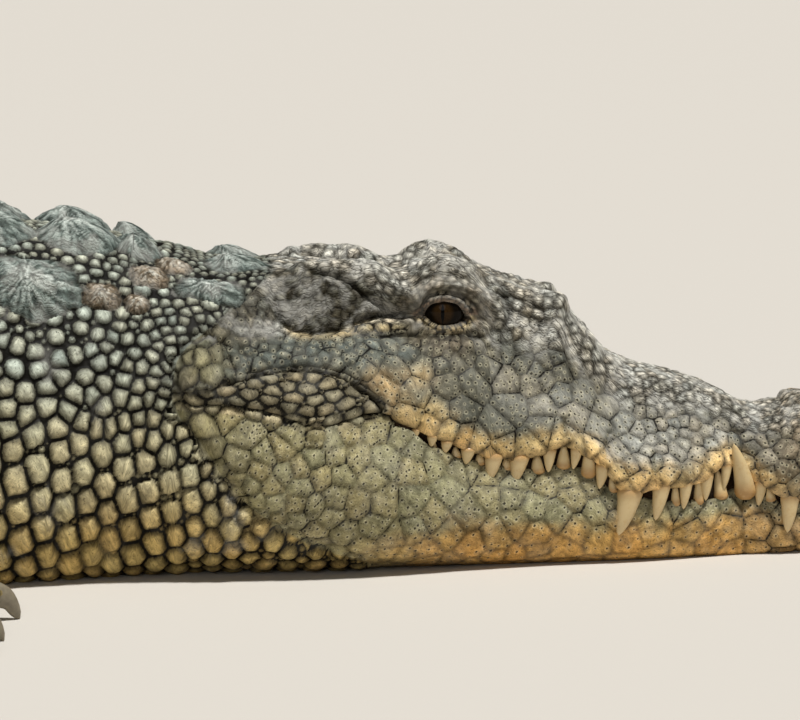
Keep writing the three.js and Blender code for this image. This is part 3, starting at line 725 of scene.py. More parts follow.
def lay_scales(skin, near, scales, crack_height, strength):
    """Gives the skin the relief of its scales, and notes how deep inside a scale each place is.
    Where strength is less than 1, the cracks between plates fade."""
    places = skin.places[near]
    found = np.empty((len(near), 4), int)
    for row, place in enumerate(places):
        found[row] = [hit[1] for hit in scales.tree.find_n(place, 4)]
    away = places[:, None] - scales.place[found]
    flat = np.linalg.norm(away, axis=2)
    u = np.einsum("nkc,nkc->nk", away, scales.along[found]) / scales.half[found, 0]
    v = np.einsum("nkc,nkc->nk", away, scales.around[found]) / scales.half[found, 1]
    oval = (np.abs(u) ** 2.3 + np.abs(v) ** 2.3) ** (1 / 2.3)
    best = np.argmin(oval, axis=1)
    row = np.arange(len(near))
    mine = found[row, best]
    bead = scales.bead[mine]
    core = found[:, 0]
    crack = crack_distance(places, scales, found)
    first, second = np.sort(oval, axis=1)[:, :2].T
    size = scales.half[mine].min(axis=1)
    depth = (np.minimum(1 - first, (second - first) * 0.5) - BEAD_CRACK) * size
    inner = np.clip(1 - depth / size, 0, 1)
    bead = bead & ((depth > -0.06 * size) | (neck_share(skin.s[near], skin.z[near]) > 0.5))
    dome = scales.height[mine] * (1 - inner**2.2) ** 0.6
    swell = 0.9 * (1 - np.clip(flat[:, 0] / (scales.half[core, 0] * 1.3), 0, 1) ** 2)
    plate = crack_height * (1 - np.exp(-crack / CRACK_REACH) + swell) * scales.height[core]
    skin.rise[near] += np.where(bead, dome, plate * strength)
    skin.edge[near] = np.where(bead, depth, crack + 1.3 * (1 - strength) ** 2)
    pit_u, pit_v = u[row, best] * scales.half[mine, 0], v[row, best] - 0.38
    own_pit = np.hypot(pit_u, pit_v * scales.half[mine, 1]) + 0.35
    skin.spot[near] = np.where(bead & (size > 3.5), own_pit, 9)
    return np.where(bead, mine, core), bead


PIT_SPACING = 5.2  # mm between the fine pits of the jaws


def dot_pits(skin, near):
    """Scatters fine pits over some places and notes how far each of these is from a pit."""
    places = skin.places[near]
    spacing = PIT_SPACING * (1 + 0.3 * lumps(places, 18, 61)) * rng.uniform(0.6, 1.35, len(places))
    spacing *= 2.6 - 1.6 * skin.pit[near]
    picked = spread(places, spacing, skin.edge[near] > 1.8)
    tree = tree_of(places[picked])
    faint = rng.uniform(-0.15, 0.55, len(picked))
    found = [tree.find(place) for place in places]
    skin.spot[near] = [hit[2] + faint[hit[1]] for hit in found]


class Front:
    """The head and neck: a grid of skin from the snout tip to the shoulders."""

    def __init__(self):
        head = np.arange(0, HEAD_END, HEAD_STEP)
        neck = np.arange(HEAD_END, NECK_END + NECK_OVERLAP, NECK_STEP)
        rings = whole_rings(np.concatenate([head, neck]))
        cap = snout_cap(rings[0])
        rings = np.concatenate([cap, rings])
        self.shape = rings.shape[:2]
        self.stations = np.concatenate([cap[:, 0, 0], head, neck])
        self.head_last = len(cap) + len(head)
        self.skin = Skin(rings.reshape(-1, 3).copy(), self.grid_normals)
        self.row = np.tile(np.arange(2 * SIDE_ROWS), len(rings))
        self.side_row = np.minimum(self.row, 2 * SIDE_ROWS - self.row)
        self.in_mouth = (self.side_row > UPPER_ROWS) & (self.side_row < UPPER_ROWS + MOUTH_ROWS)
        self.in_mouth &= self.skin.s < MOUTH_CORNER + 6
        self.upper = self.side_row <= UPPER_ROWS

    def grid_normals(self, places):
        return grid_normals(places.reshape(*self.shape, 3)).reshape(-1, 3)

    def at(self, s, z, side, upper):
        """The index of the place at s and height z on one side, above or below the mouth."""
        ring = np.argmin(np.abs(self.stations - s)) * 2 * SIDE_ROWS
        rows = slice(UPPER_ROWS + 1) if upper else slice(-LOWER_ROWS - 1, -1)
        index = ring + side_rows(side)[rows]
        lateral = self.skin.wide[index] > 0.5 * flank_width(np.array(float(s)))
        gap = np.where(lateral, np.abs(self.skin.z[index] - z), 1e6)
        return index[np.argmin(gap)]


UPPER_LABIALS = [  # s of each scale along the lips
    14, 34, 55, 78, 97, 110, 127, 148, 171, 197, 217, 238, 266, 296, 320, 340, 353, 366, 384, 400,
]
LOWER_LABIALS = [
    14, 38, 62, 90, 112, 131, 153, 176, 200, 221, 239, 257, 281, 308, 334, 357, 379, 398,
]


def head_spacing(skin, upper):
    """How far apart the scales of the head are: fine round the eye, broad on the jaws."""
    s, z, wide = skin.s, skin.z, skin.wide
    from_eye = skin.from_eye() + 60 * (wide < CROWN_HALF)
    patch = 1 + 0.35 * lumps(skin.places, 40, 51)
    spacing = mix(20.0, 11.0, smooth(skin.height_share(), 0.3, 0.75))
    spacing = mix(spacing, 8.5, wrinkled(skin))
    spacing = np.where(upper, mix(spacing, 7.0, faces_up(skin, 0.35, 0.75)), 20.0)
    spacing = np.where(upper, spacing, mix(spacing, 14.0, smooth(s, 420, 500)))
    flap = smooth(s, 396, 412) * smooth(515 - s, 0, 20) * smooth(z, 214, 224) * (wide > 52)
    spacing = mix(spacing, 9.0, flap)
    cheek = smooth(s, 400, 450) * smooth(z, 172, 190) * (1 - flap)
    spacing = mix(spacing, 10.0, cheek) * patch
    return mix(6.0, spacing, smooth(from_eye, 30, 62))


def faces_up(skin, low, high):
    """1 where the skin faces up on the snout and the skull; the cheeks do not count."""
    roof = np.where(skin.s > 330, smooth(skin.z, 204, 214), 1)
    return smooth(skin.normals[:, 2], low, high) * roof


def wrinkled(skin):
    """1 on the wrinkled skin of the upper snout and round the eye, 0 on the plates below it."""
    s, z = skin.s, skin.z
    share = skin.height_share() + 0.05 * lumps(skin.places, 24, 52)
    over = smooth(share, 0.56, 0.8) * smooth(352 - s, 0, 24)
    shelf = 209 + 6 * lumps(skin.places, 30, 54)
    brow = smooth(z - shelf, -7, 7) * smooth(s, 300, 350) * smooth(560 - s, 0, 60)
    return np.maximum(over, brow)


def plate_strength(front):
    """How clear the cracks between plates are: the skin over the skull has few."""
    skin = front.skin
    s, z = skin.s, skin.z
    upper = front.upper
    up = 0.5 * faces_up(skin, 0.4, 0.8)
    by_eye = smooth(58 - skin.from_eye(), 0, 16) * (skin.wide > CROWN_HALF)
    bare = 0.55 * wrinkled(skin) + 0.3 * by_eye
    cheek = 0.2 * smooth(z, 178, 190) * smooth(s, 400, 430)
    lip = lip_height(s, upper_lip)
    band = 0.4 * smooth(lip + 22 - z, 0, 8) * smooth(MOUTH_CORNER - s, 0, 20)
    hidden = np.maximum.reduce([up, bare, cheek, band]) * upper
    low = 0.85 * (~upper) * smooth(46 - z, 0, 26) * smooth(s, 60, 120) * smooth(470 - s, 0, 60)
    flap = (s > 420) & (s < 516) & (z < crest_foot(s)) & (z > flap_foot(s))
    hidden = np.where(flap & upper, 0.4, hidden)
    return 1 - np.maximum(hidden, low)


def lay_head(front, scales):
    """The head's own scales: rows along the lips, in the cheek folds and under the ear, and
    cracked plates everywhere else."""
    skin = front.skin
    taken = []

    def place(s, z, side, upper, half, reach=1.45, **shape):
        i = front.at(s, z, side, upper)
        scales.add(skin.places[i], skin.normals[i], half, **shape)
        taken.append((skin.places[i].copy(), half * reach))

    def brick(s, z, side, upper, half, half_high, height):
        place(s, z, side, upper, half, 1.1, tall=half_high / half, bead=True, height=height)

    for side in (-1, 1):
        for s in UPPER_LABIALS:
            place(s, float(upper_lip(s)) + 11, side, True, 9)
        for s in LOWER_LABIALS:
            place(s, float(lower_lip(s)) - 10, side, False, 8.5)
        for s in np.arange(434, 592, 17.0):
            low, high = float(fold_low(s)), float(fold_high(s))
            count = max(1, round((high - low) / 9.5))
            for k in range(count):
                z = mix(low, high, (k + 0.5) / count)
                shift = rng.uniform(-1, 1) + (k % 2) * 8
                brick(s + shift, z, side, z > cheek_line(s), 11.5, 0.7 * (high - low) / count, 1.6)
        for s in (408, 423, 438, 452):
            brick(s, 212, side, True, 9.4, 5.6, 1.2)
        for s in range(342, 392, 6):
            brick(s, float(eye_low(s)) - 2.2, side, True, 4.2, 3.4, 0.8)
            brick(s, float(eye_top(s)) + 3.2, side, True, 4.2, 2.6, 0.7)
    step = 2 * SIDE_ROWS
    index = np.arange(len(skin.s)).reshape(-1, step)[::2, ::2].ravel()
    index = index[~front.in_mouth[index] & (neck_share(skin.s[index], skin.z[index]) < 0.5)]
    spacing = head_spacing(skin, front.upper)[index]
    in_folds = (skin.s[index] > 426) & (skin.z[index] < fold_high(skin.s[index]) + 3)
    in_folds &= skin.z[index] > fold_low(skin.s[index]) - 3
    for i in spread(skin.places[index], spacing, ~in_folds, taken):
        scales.add(skin.places[index[i]], skin.normals[index[i]], spacing[i] * 0.62)


bead_by_height = curve([
    (0, 21), (90, 20.5), (140, 17.5), (180, 15), (220, 12), (260, 10), (300, 10),
])
bead_by_distance = curve([(0, 0.6), (40, 0.85), (120, 1), (260, 1.08), (520, 1.45), (900, 1.6)])
BEAD_TALL = 1.28  # height of a bead over its width
BEAD_START = 470
GUIDE_STEP = 3.0  # distance between the smooth rings that the beads are laid on
ROWS_TOP = 132  # the beads stand in columns below this height


def bead_width(s, z):
    return bead_by_height(z) * bead_by_distance(s - jowl(z))


def lay_columns(scales, rings, normals, to):
    """Columns of beads down one side, every second one half a bead higher."""
    laid = np.empty((0, 3))
    s, odd = float(BEAD_START), 0
    while s < to - 4:
        i = min(int(round((s - BEAD_START) / GUIDE_STEP)), len(rings) - 1)
        ring = rings[i]
        run = run_lengths(ring[None])[0]
        reach = run[(ring[:, 2] > 2) & (ring[:, 2] <= ROWS_TOP) & (np.abs(ring[:, 1]) > 40)]
        at = reach[-1] - 4 - odd * 0.5 * BEAD_TALL * float(bead_width(s, 40))
        while at > reach[0]:
            j = np.searchsorted(run, at)
            z = ring[j, 2]
            width = float(bead_width(s, z)) * rng.uniform(0.92, 1.06)
            lean = 0.10 * (z - 100)
            spot = np.array([s + lean + rng.uniform(-0.08, 0.08) * width, ring[j, 1], z])
            gap = np.linalg.norm((laid - spot) / [1, BEAD_TALL, BEAD_TALL], axis=1)
            clear = len(gap) == 0 or gap.min() > 0.8 * width
            if spot[0] > jowl(z) + 0.5 * width and clear:
                laid = np.vstack([laid, spot])
                half = width * rng.uniform(0.54, 0.62)
                place = ring[j] + [spot[0] - s, 0, 0]
                scales.add(place, normals[i, j], half, BEAD_TALL, True, 0.5 * half)
            at -= width * BEAD_TALL * 1.02
        s += float(bead_width(s, 60)) * 0.9
        odd = 1 - odd


def lay_loose_beads(scales, places, normals):
    """Beads in no order over the back, above the columns."""
    free = (places[:, 2] > ROWS_TOP - 8) & (places[:, 0] > jowl(places[:, 2]) + 4)
    spacing = bead_width(places[:, 0], places[:, 2]) * (0.86 + 0.3 * lumps(places, 60, 9))
    rows = np.array(scales.rows)
    taken = [(row[:3], row[6] * 1.5) for row in rows[rows[:, 8] > 0.5] if row[2] > ROWS_TOP - 30]
    for i in spread(places, spacing, free, taken):
        half = spacing[i] * 0.78
        tall = mix(rng.uniform(0.85, 1.05), 1.25, float(smooth(-places[i, 2], -200, -130)))
        scales.add(places[i], normals[i], half, tall, True, 0.5 * half)


def lay_beads(scales, to):
    """Oval beads on the neck and flanks: in columns down each side, and loosely near the back."""
    rings = whole_rings(np.arange(BEAD_START, to, GUIDE_STEP))
    normals = grid_normals(rings)
    for side in (-1, 1):
        rows = side_rows(side)
        lay_columns(scales, rings[:, rows], normals[:, rows], to)
    lay_loose_beads(scales, rings[:, ::3].reshape(-1, 3), normals[:, ::3].reshape(-1, 3))


def fill_beads(skin, scales, index):
    """Beads in the gaps between the large ones: first in the wide gaps, then in the rest."""
    for least, most in ((4.0, 9.5), (1.7, 4.5)):
        rows = np.array(scales.rows)
        tree = tree_of(rows[:, :3])
        gap = np.empty(len(index))
        for n, i in enumerate(index):
            gap[n] = min(hit[2] - rows[hit[1], 6] * 1.04 for hit in tree.find_n(skin.places[i], 4))
        reach = np.clip(gap * 1.6, 4.0, 17)
        for n in spread(skin.places[index], reach, gap > least, (), np.argsort(-gap)):
            half = float(np.clip(1.25 * gap[n], 2.0, most)) * rng.uniform(0.9, 1)
            place, normal = skin.places[index[n]], skin.normals[index[n]]
            scales.add(place, normal, half, rng.uniform(0.9, 1.2), True, 0.5 * half)


# ---------------------------------------------------------------- horn plates
NAPE_PLATES = [  # s, y, length, width, height of the keel, as in the CAD
    (545, 34, 58, 42, 12), (570, 86, 62, 36, 10), (634, 40, 56, 46, 14), (682, 46, 76, 70, 18),
    (719, 113, 76, 62, 14), (756, 46, 76, 70, 18), (664, 108, 32, 30, 11), (633, 108, 24, 22, 8),
    (622, 84, 32, 30, 11), (600, 62, 30, 26, 8),
]
BACK_FIRST, BACK_STEP, BACK_ROWS = 862, 55, 17
BACK_PLATES = [  # share of the body's half-width, height of the keel
    (0.11, 11), (0.31, 10), (0.50, 8),
]


def back_plates():
    """The rows of plates along the back: s, y, length, width, height of the keel."""
    plates = []
    for row in range(BACK_ROWS):
        s = BACK_FIRST + BACK_STEP * (row + 0.5)
        wide = float(body_width(s))
        for share, keel in BACK_PLATES:
            if share > 0.4 and not 2 < row < 15:
                continue
            plates.append((s, share * wide, BACK_STEP + 1, 0.2 * wide + 1, keel))
    return plates


PLATE_FLOOR = 120  # plates lie above this height only


def horn_rays(turn, out, s):
    """Ridges that fan out over a plate; each plate's own s makes them differ."""
    ray = 0.7 * np.abs(lumps(sheet_points(turn * 5, out * 2.2, 0 * turn + s), 1, 5))
    return ray + 0.8 * np.abs(lumps(sheet_points(turn * 11, out * 3.5, 0 * turn + s), 1, 6))


def lay_plate(skin, s, y, length, width, height, square):
    """A keeled horn plate over the skin: its keel rises backwards and then drops. Gives back
    the places on it, how near they are to the keel, and how high on a ray."""
    near = np.flatnonzero(
        (np.abs(skin.s - s) < length * 0.8)
        & (np.abs(skin.places[:, 1] - y) < width * 0.8)
        & (skin.z > PLATE_FLOOR)
    )
    if len(near) == 0:
        return near, near, near
    places = skin.places[near]
    middle = np.argmin((places[:, 0] - s) ** 2 + (places[:, 1] - y) ** 2)
    normal = skin.normals[near[middle]]
    along = unit(np.array([1.0, 0, 0]) - normal * normal[0])
    around = np.cross(normal, along)
    away = places - places[middle]
    u, v = away @ along / (length / 2), away @ around / (width / 2)
    out = (np.abs(u) ** square + np.abs(v) ** square) ** (1 / square)
    rough = 0.2 if square < 4 else 0.06
    out = np.maximum(out + rough * lumps(places, 20, 6) + 0.4 * rough * lumps(places, 7, 8), 0)
    inside = out < 1.0
    near, u, v, out = near[inside], u[inside], v[inside], out[inside]
    keel = np.where(u < 0.3, smooth(u, -1.35, 0.3), 1 - 0.85 * smooth(u, 0.3, 1.15))
    ridge = np.clip(1 - np.abs(v), 0, 1) ** 1.15
    ray = horn_rays(np.arctan2(v * width, (u - 0.35) * length), out, s)
    lift = 0.5 * np.clip(1 - out**2, 0, 1) + 0.5 * keel * ridge
    border = np.sqrt(np.clip(1 - out**5, 0, 1))
    skin.rise[near] = height * lift * border + 2.6 * (ray - 0.4) * smooth(out, 0.2, 0.6) * border
    skin.edge[near] = (1 - out) * width / 2
    skin.spot[near] = 9
    skin.crumple[near] = 0.45
    return near, ridge * keel, ray


# The keel and rays are painted paler, partly as painted highlight, and the furrows get painted
# shade.
NAPE_LOOK = {  # how strongly the horn, its keel and the furrows between its rays are coloured
    "horn": 0.95, "keel": (0.06, 0.62), "rays": (0.2, 0.8), "dark": 0.75, "furrows": (0.1, 0.5),
}
BACK_LOOK = {
    "horn": 0.85, "keel": (0.1, 0.6), "rays": (0.2, 0.7), "dark": 0.6, "furrows": (0.05, 0.35),
}
SMALL_PLATE = 34  # a plate of the nape that is narrower than this is brown


def lay_plates(skin, plates, look, colour, square):
    """Plates on both sides, with pale keels and rays, partly painted highlight, and painted shade
    in the furrows, over their colour.
    """
    for s, y, length, width, height in plates:
        horn = colour or (HORN_BROWN if width < SMALL_PLATE else HORN_GREY)
        for side in (-1, 1):
            near, keel, ray = lay_plate(skin, s, side * y, length, width, height, square)
            if len(near):
                skin.paint(look["horn"], horn, near)
                # Paler keel and ray ridges: partly paler horn, partly painted highlight.
                skin.paint(mix(*look["keel"], keel) * smooth(ray, *look["rays"]), HORN_PALE_AND_LIT, near)
                # Painted shade in the furrows between the rays.
                skin.paint(look["dark"] * (1 - smooth(ray, *look["furrows"])), HORN_FURROW_SHADE, near)


def clear_plates(scales):
    """Takes away the beads that the plates cover."""
    rows = np.array(scales.rows)
    keep = np.ones(len(rows), bool)
    for square, plates in ((2, NAPE_PLATES), (6, back_plates())):
        for s, y, length, width, _ in plates:
            u = np.abs(rows[:, 0] - s) / (length / 2)
            for side in (-1, 1):
                v = np.abs(rows[:, 1] - side * y) / (width / 2)
                keep &= (u**square + v**square > 0.96**square) | (rows[:, 2] < PLATE_FLOOR)
    scales.rows = [row for row, kept in zip(scales.rows, keep) if kept]


# ---------------------------------------------------------------- trunk and legs
# Legs: s, distance out from the midline, height, half-width and half-thickness, as in the CAD.
# Toes: where each leaves the palm, its bend and its end, and whether it has a claw.
FORELEG = {
    "upper": [
        (922, 150, 150, 48, 58), (950, 225, 140, 52, 56), (985, 292, 112, 48, 48),
        (1006, 322, 98, 46, 46),
    ],
    "lower": [
        (1006, 322, 98, 46, 46), (985, 345, 84, 46, 44), (935, 352, 60, 38, 36),
        (893, 350, 40, 30, 27),
    ],
    "palm": [
        (893, 350, 40, 30, 27), (868, 350, 27, 38, 21), (838, 352, 16, 46, 16),
        (815, 354, 12, 44, 13),
    ],
    "toes": [
        ((846, 322, 20), (800, 292, 30), (765, 278, 38), True),
        ((828, 348, 18), (790, 350, 32), (781, 352, 38), True),
        ((832, 374, 18), (800, 400, 30), (784, 412, 37), True),
        ((850, 388, 16), (832, 428, 20), (824, 448, 13), False),
        ((868, 384, 16), (872, 418, 16), (876, 440, 12), False),
    ],
    "toe_radius": 14,
    "claw_length": 44,
}
HINDLEG = {
    "upper": [
        (1738, 110, 150, 84, 84), (1700, 190, 150, 84, 80), (1640, 292, 150, 68, 64),
        (1608, 340, 140, 58, 56),
    ],
    "lower": [
        (1608, 340, 140, 58, 56), (1640, 378, 118, 58, 54), (1716, 404, 78, 44, 42),
        (1768, 412, 48, 36, 32),
    ],
    "palm": [
        (1768, 412, 48, 36, 32), (1792, 424, 30, 34, 28), (1756, 444, 24, 42, 24),
        (1700, 462, 16, 54, 16), (1672, 470, 12, 54, 13),
    ],
    "toes": [
        ((1700, 430, 18), (1655, 420, 28), (1625, 416, 36), True),
        ((1684, 456, 18), (1630, 458, 30), (1592, 458, 36), True),
        ((1684, 486, 18), (1636, 500, 28), (1606, 508, 36), True),
        ((1700, 506, 16), (1664, 532, 20), (1640, 548, 13), False),
    ],
    "toe_radius": 15,
    "claw_length": 42,
}
LEG_SIDES = 24


def tube(stations, side, step=6.0):
    """A closed smooth tube through (s, y, z, half-width, half-thickness) stations."""
    keys = np.array(stations, float)
    run = np.concatenate([[0], np.cumsum(np.linalg.norm(np.diff(keys[:, :3], axis=0), axis=1))])
    at = np.linspace(0, run[-1], max(int(run[-1] / step), 3))
    s, y, z, wide, thick = (curve(list(zip(run, keys[:, k])))(at) for k in range(5))
    middle = np.stack([s, side * y, z], axis=1)
    forward = unit(np.gradient(middle, axis=0))
    across = unit(np.cross(forward, [0, 0, 1.0]))
    up = np.cross(across, forward)
    turn = turns(LEG_SIDES)
    rings = (
        middle[:, None]
        + (wide[:, None] * np.cos(turn))[..., None] * across[:, None]
        + (thick[:, None] * np.sin(turn))[..., None] * up[:, None]
    )
    return closed_mesh(rings)


def ring_quads(levels, sides):
    """The four-sided faces between rings whose vertices follow one another."""
    i, j = np.meshgrid(np.arange(levels - 1), np.arange(sides), indexing="ij")
    a, b = i * sides + j, i * sides + (j + 1) % sides
    return np.stack([a, b, b + sides, a + sides], axis=-1).reshape(-1, 4)


def closed_mesh(rings):
    """The vertices and faces of a stack of rings, closed at both ends."""
    levels, sides = rings.shape[:2]
    ends = [list(range(sides))[::-1], list(range((levels - 1) * sides, levels * sides))]
    return rings.reshape(-1, 3), ring_quads(levels, sides).tolist() + ends


def joined(parts):
    """The vertices and faces of several meshes as those of one."""
    places = [part[0] for part in parts]
    starts = np.cumsum([0] + [len(group) for group in places])
    faces = [part[1] + start for part, start in zip(parts, starts)]
    return np.concatenate(places), np.concatenate(faces)


def sphere(tilt, sides):
    """Rings of places on a sphere of radius 1, at the given tilts from its pole."""
    tilt, turn = tilt[:, None], turns(sides)[None]
    shape = [np.sin(tilt) * np.cos(turn), np.sin(tilt) * np.sin(turn), np.cos(tilt) + 0 * turn]
    return np.stack(shape, axis=-1)


def ball(place, side, radii):
    rings = sphere(np.linspace(0.02, math.pi - 0.02, 13), LEG_SIDES)
    return closed_mesh(rings * radii + np.array(place) * [1, side, 1])


def toe_stations(digit, radius):
    """A toe lies along the ground from its root, over its bend, to its end."""
    root, bend, end = digit[:3]
    return [
        (root[0], root[1], root[2], radius, radius * 0.8),
        (bend[0], bend[1], bend[2] * 0.75, radius * 0.92, radius * 0.9),
        (end[0], end[1], end[2] * 0.62, radius * 0.8, radius * 0.86),
    ]


def leg_solids(leg, side):
    """Tubes for the parts of a leg and its toes, with a ball at the end of each."""
    parts = [leg["upper"], leg["lower"], leg["palm"]]
    solids = [tube(stations, side) for stations in parts]
    for stations in parts:
        s, y, z, wide, thick = stations[-1]
        solids.append(ball((s, y, z), side, (wide * 0.98, wide * 0.98, thick * 0.96)))
    for digit in leg["toes"]:
        stations = toe_stations(digit, leg["toe_radius"])
        solids.append(tube(stations, side, 4.0))
        s, y, z, wide, thick = stations[-1]
        solids.append(ball((s, y, z), side, (wide, wide, thick * 0.96)))
    return solids


def one_skin(solids, size):
    """The vertices, four-sided faces and edges of one skin round solids that overlap."""
    vertices = np.concatenate([places for places, _ in solids])
    starts = np.cumsum([0] + [len(places) for places, _ in solids])
    faces = []
    for start, (_, group) in zip(starts, solids):
        faces += [[start + i for i in face] for face in group]
    mesh = bpy.data.meshes.new("flesh")
    mesh.from_pydata(vertices.tolist(), [], faces)
    lump = add_object("flesh", mesh)
    remesh = lump.modifiers.new("one_skin", "REMESH")
    remesh.mode = "VOXEL"
    remesh.voxel_size = size
    whole = lump.evaluated_get(bpy.context.evaluated_depsgraph_get()).to_mesh()
    places = read_all(whole.vertices, "co", 3, np.float32)
    corners = read_all(whole.loops, "vertex_index", 1, np.int32)
    edges = read_all(whole.edges, "vertices", 2, np.int32)
    bpy.data.objects.remove(lump)
    return places.reshape(-1, 3).astype(float), corners.reshape(-1, 4), edges.reshape(-1, 2)


def relax(places, edges, weight, rounds):
    """Smooths a mesh by moving each place towards the middle of its neighbours."""
    a, b = edges.T
    count = np.bincount(edges.ravel(), minlength=len(places))
    for _ in range(rounds):
        total = [
            np.bincount(a, places[b, k], len(places)) + np.bincount(b, places[a, k], len(places))
            for k in range(3)
        ]
        mean = np.stack(total, axis=1) / count[:, None]
        places = mix(places, mean, weight[:, None])
    return places


def mesh_normals(places, faces):
    corner = places[faces]
    normal = np.cross(corner[:, 2] - corner[:, 0], corner[:, 3] - corner[:, 1])
    total = [
        np.bincount(faces.ravel(), np.repeat(normal[:, k], 4), len(places)) for k in range(3)
    ]
    return unit(np.stack(total, axis=1))


def facing_out(places, faces, middle):
    """The faces, turned over where need be to face away from the middle in the frame of the CAD,
    which is a mirror image of the animal's own frame."""
    outward = np.sum(mesh_normals(places, faces) * (places - middle))
    return faces[:, ::-1] if outward > 0 else faces


class Flesh:
    """The trunk and the legs: one mesh from behind the neck to the root of the tail."""

    def __init__(self):
        ends = (NECK_END - TRUNK_OVERLAP, TAIL_START + TRUNK_TAIL)
        rings = whole_rings(np.arange(*ends, 6.0), 90)
        solids = [closed_mesh(rings[:, ::-1])]
        for side in (-1, 1):
            for leg in (FORELEG, HINDLEG):
                solids += leg_solids(leg, side)
        places, self.faces, edges = one_skin(solids, FLESH_STEP)
        trunk = tree_of(whole_rings(np.arange(*ends, 5.0), 110).reshape(-1, 3))
        off = np.array([trunk.find(place)[2] for place in places])
        self.limb = smooth(off, 6, 22) * behind_neck(places)
        places = relax(places, edges, join_weight(places, off) * 0.9, 40)
        facing = mesh_normals(places, self.faces)
        outward = np.sum(facing * (places - [0, 0, 120]) * [0, 1, 1])
        if outward < 0:
            self.faces = self.faces[:, ::-1]
        self.skin = Skin(places, lambda at: mesh_normals(at, self.faces))


def behind_neck(places):
    """Where the trunk's skin is seen, and the forefeet beside the neck; its front end is not."""
    return (places[:, 0] > NECK_END) | (np.abs(places[:, 1]) > BODY_REACH)


def join_weight(places, off):
    """How strongly each place is smoothed: most at the roots of the legs, a little on the legs,
    and not at all next to the neck. off is how far each place is from the bare trunk."""
    s, wide = places[:, 0], np.abs(places[:, 1])
    weight = np.zeros(len(places))
    for leg, reach in ((FORELEG, 120), (HINDLEG, 160)):
        for root_s, root_y, *_ in leg["upper"][:2]:
            away = np.hypot(s - root_s, wide - root_y)
            weight = np.maximum(weight, smooth(-away, -reach, -0.6 * reach))
    weight = np.maximum(weight, 0.25 * smooth(off, 4, 20) * smooth(places[:, 2], 30, 60))
    weight = np.maximum(weight, 0.08 * smooth(off, 4, 20)) * behind_neck(places)
    return weight * np.where(wide > BODY_REACH, 1, smooth(s, NECK_END + 6, NECK_END + 34))


def leg_spacing(flesh, index):
    """How far apart the scales of the legs are: small on the toes, larger on the thighs."""
    height = flesh.skin.z[index]
    rear = smooth(flesh.skin.s[index], 1200, 1400)
    return mix(8.0, mix(13.0, 16.0, rear), smooth(height, 24, 110))


def lay_legs(flesh, scales):
    """Small oval scales on the legs, clear of those of the trunk."""
    skin = flesh.skin
    tree = tree_of(skin.places)
    in_front = NECK_END + 10
    rows = [row for row in scales.rows if row[0] < in_front or tree.find(row[:3])[2] < 7.5]
    scales.rows = rows
    index = np.flatnonzero((flesh.limb > 0.02) & behind_neck(skin.places))[::3]
    spacing = leg_spacing(flesh, index)
    near_trunk = [(row[:3], row[6] * 1.25) for row in rows if row[0] > NECK_END]
    for i in spread(skin.places[index], spacing, np.ones(len(index), bool), near_trunk):
        half = spacing[i] * 0.72
        place, normal = skin.places[index[i]], skin.normals[index[i]]
        scales.add(place, normal, half, rng.uniform(1.0, 1.2), True, 0.34 * half)


# ---------------------------------------------------------------- tail
WHORL_START = 1785.5
WHORL_STEP = 51.0
CREST_MERGE = 2760
crest_height = curve([
    (1760, 16), (2100, 30), (2500, 44), (2760, 50), (3100, 50), (3450, 34), (3600, 14),
])


def lay_whorls(skin, near):
    """Rings of oblong scales round the tail, one ring under each keel of its crest. Gives back
    a random shade for each scale."""
    s, y, z = skin.places[near].T
    half_height = body_top(s) / 2
    wide = body_width(s)
    angle = np.arctan2(np.abs(y) / wide, (z - half_height) / half_height) / math.pi
    whorl = (s - WHORL_START) / WHORL_STEP + 0.5 + 0.05 * lumps(skin.places[near], 30, 31)
    ring = np.floor(whorl)
    girth = math.pi * np.sqrt((wide**2 + half_height**2) / 2)
    count = np.maximum(np.round(girth / 27), 3)
    row = angle * count + 0.5 * np.mod(ring, 2) * smooth(angle, 0.1, 0.12)
    row = row + 0.2 * lumps(sheet_points(ring * 3.7, row, 0 * s), 1, 32)
    from_ring = (0.5 - np.abs(whorl - ring - 0.5)) * WHORL_STEP
    from_row = (0.5 - np.abs(row - np.floor(row) - 0.5)) * girth / count
    depth = np.minimum(from_ring, from_row)
    dome = np.clip(depth / 9, 0, 1)
    skin.rise[near] = 2.0 * (1 - np.exp(-depth / 1.6)) + 1.8 * dome * (2 - dome)
    skin.edge[near] = depth - 1.0
    key = ring * 12.9898 + np.floor(row) * 78.233 + (y > 0) * 3.1  # one number for each scale
    return np.mod(np.sin(key) * 43758.5453, 1) * 2 - 1


KEEL_PEAK = 0.86  # how far along a keel its back edge begins to fall
KEEL_LEVELS = np.array([0.0, 0.12, 0.3, 0.5, 0.7, 0.86, 0.96])


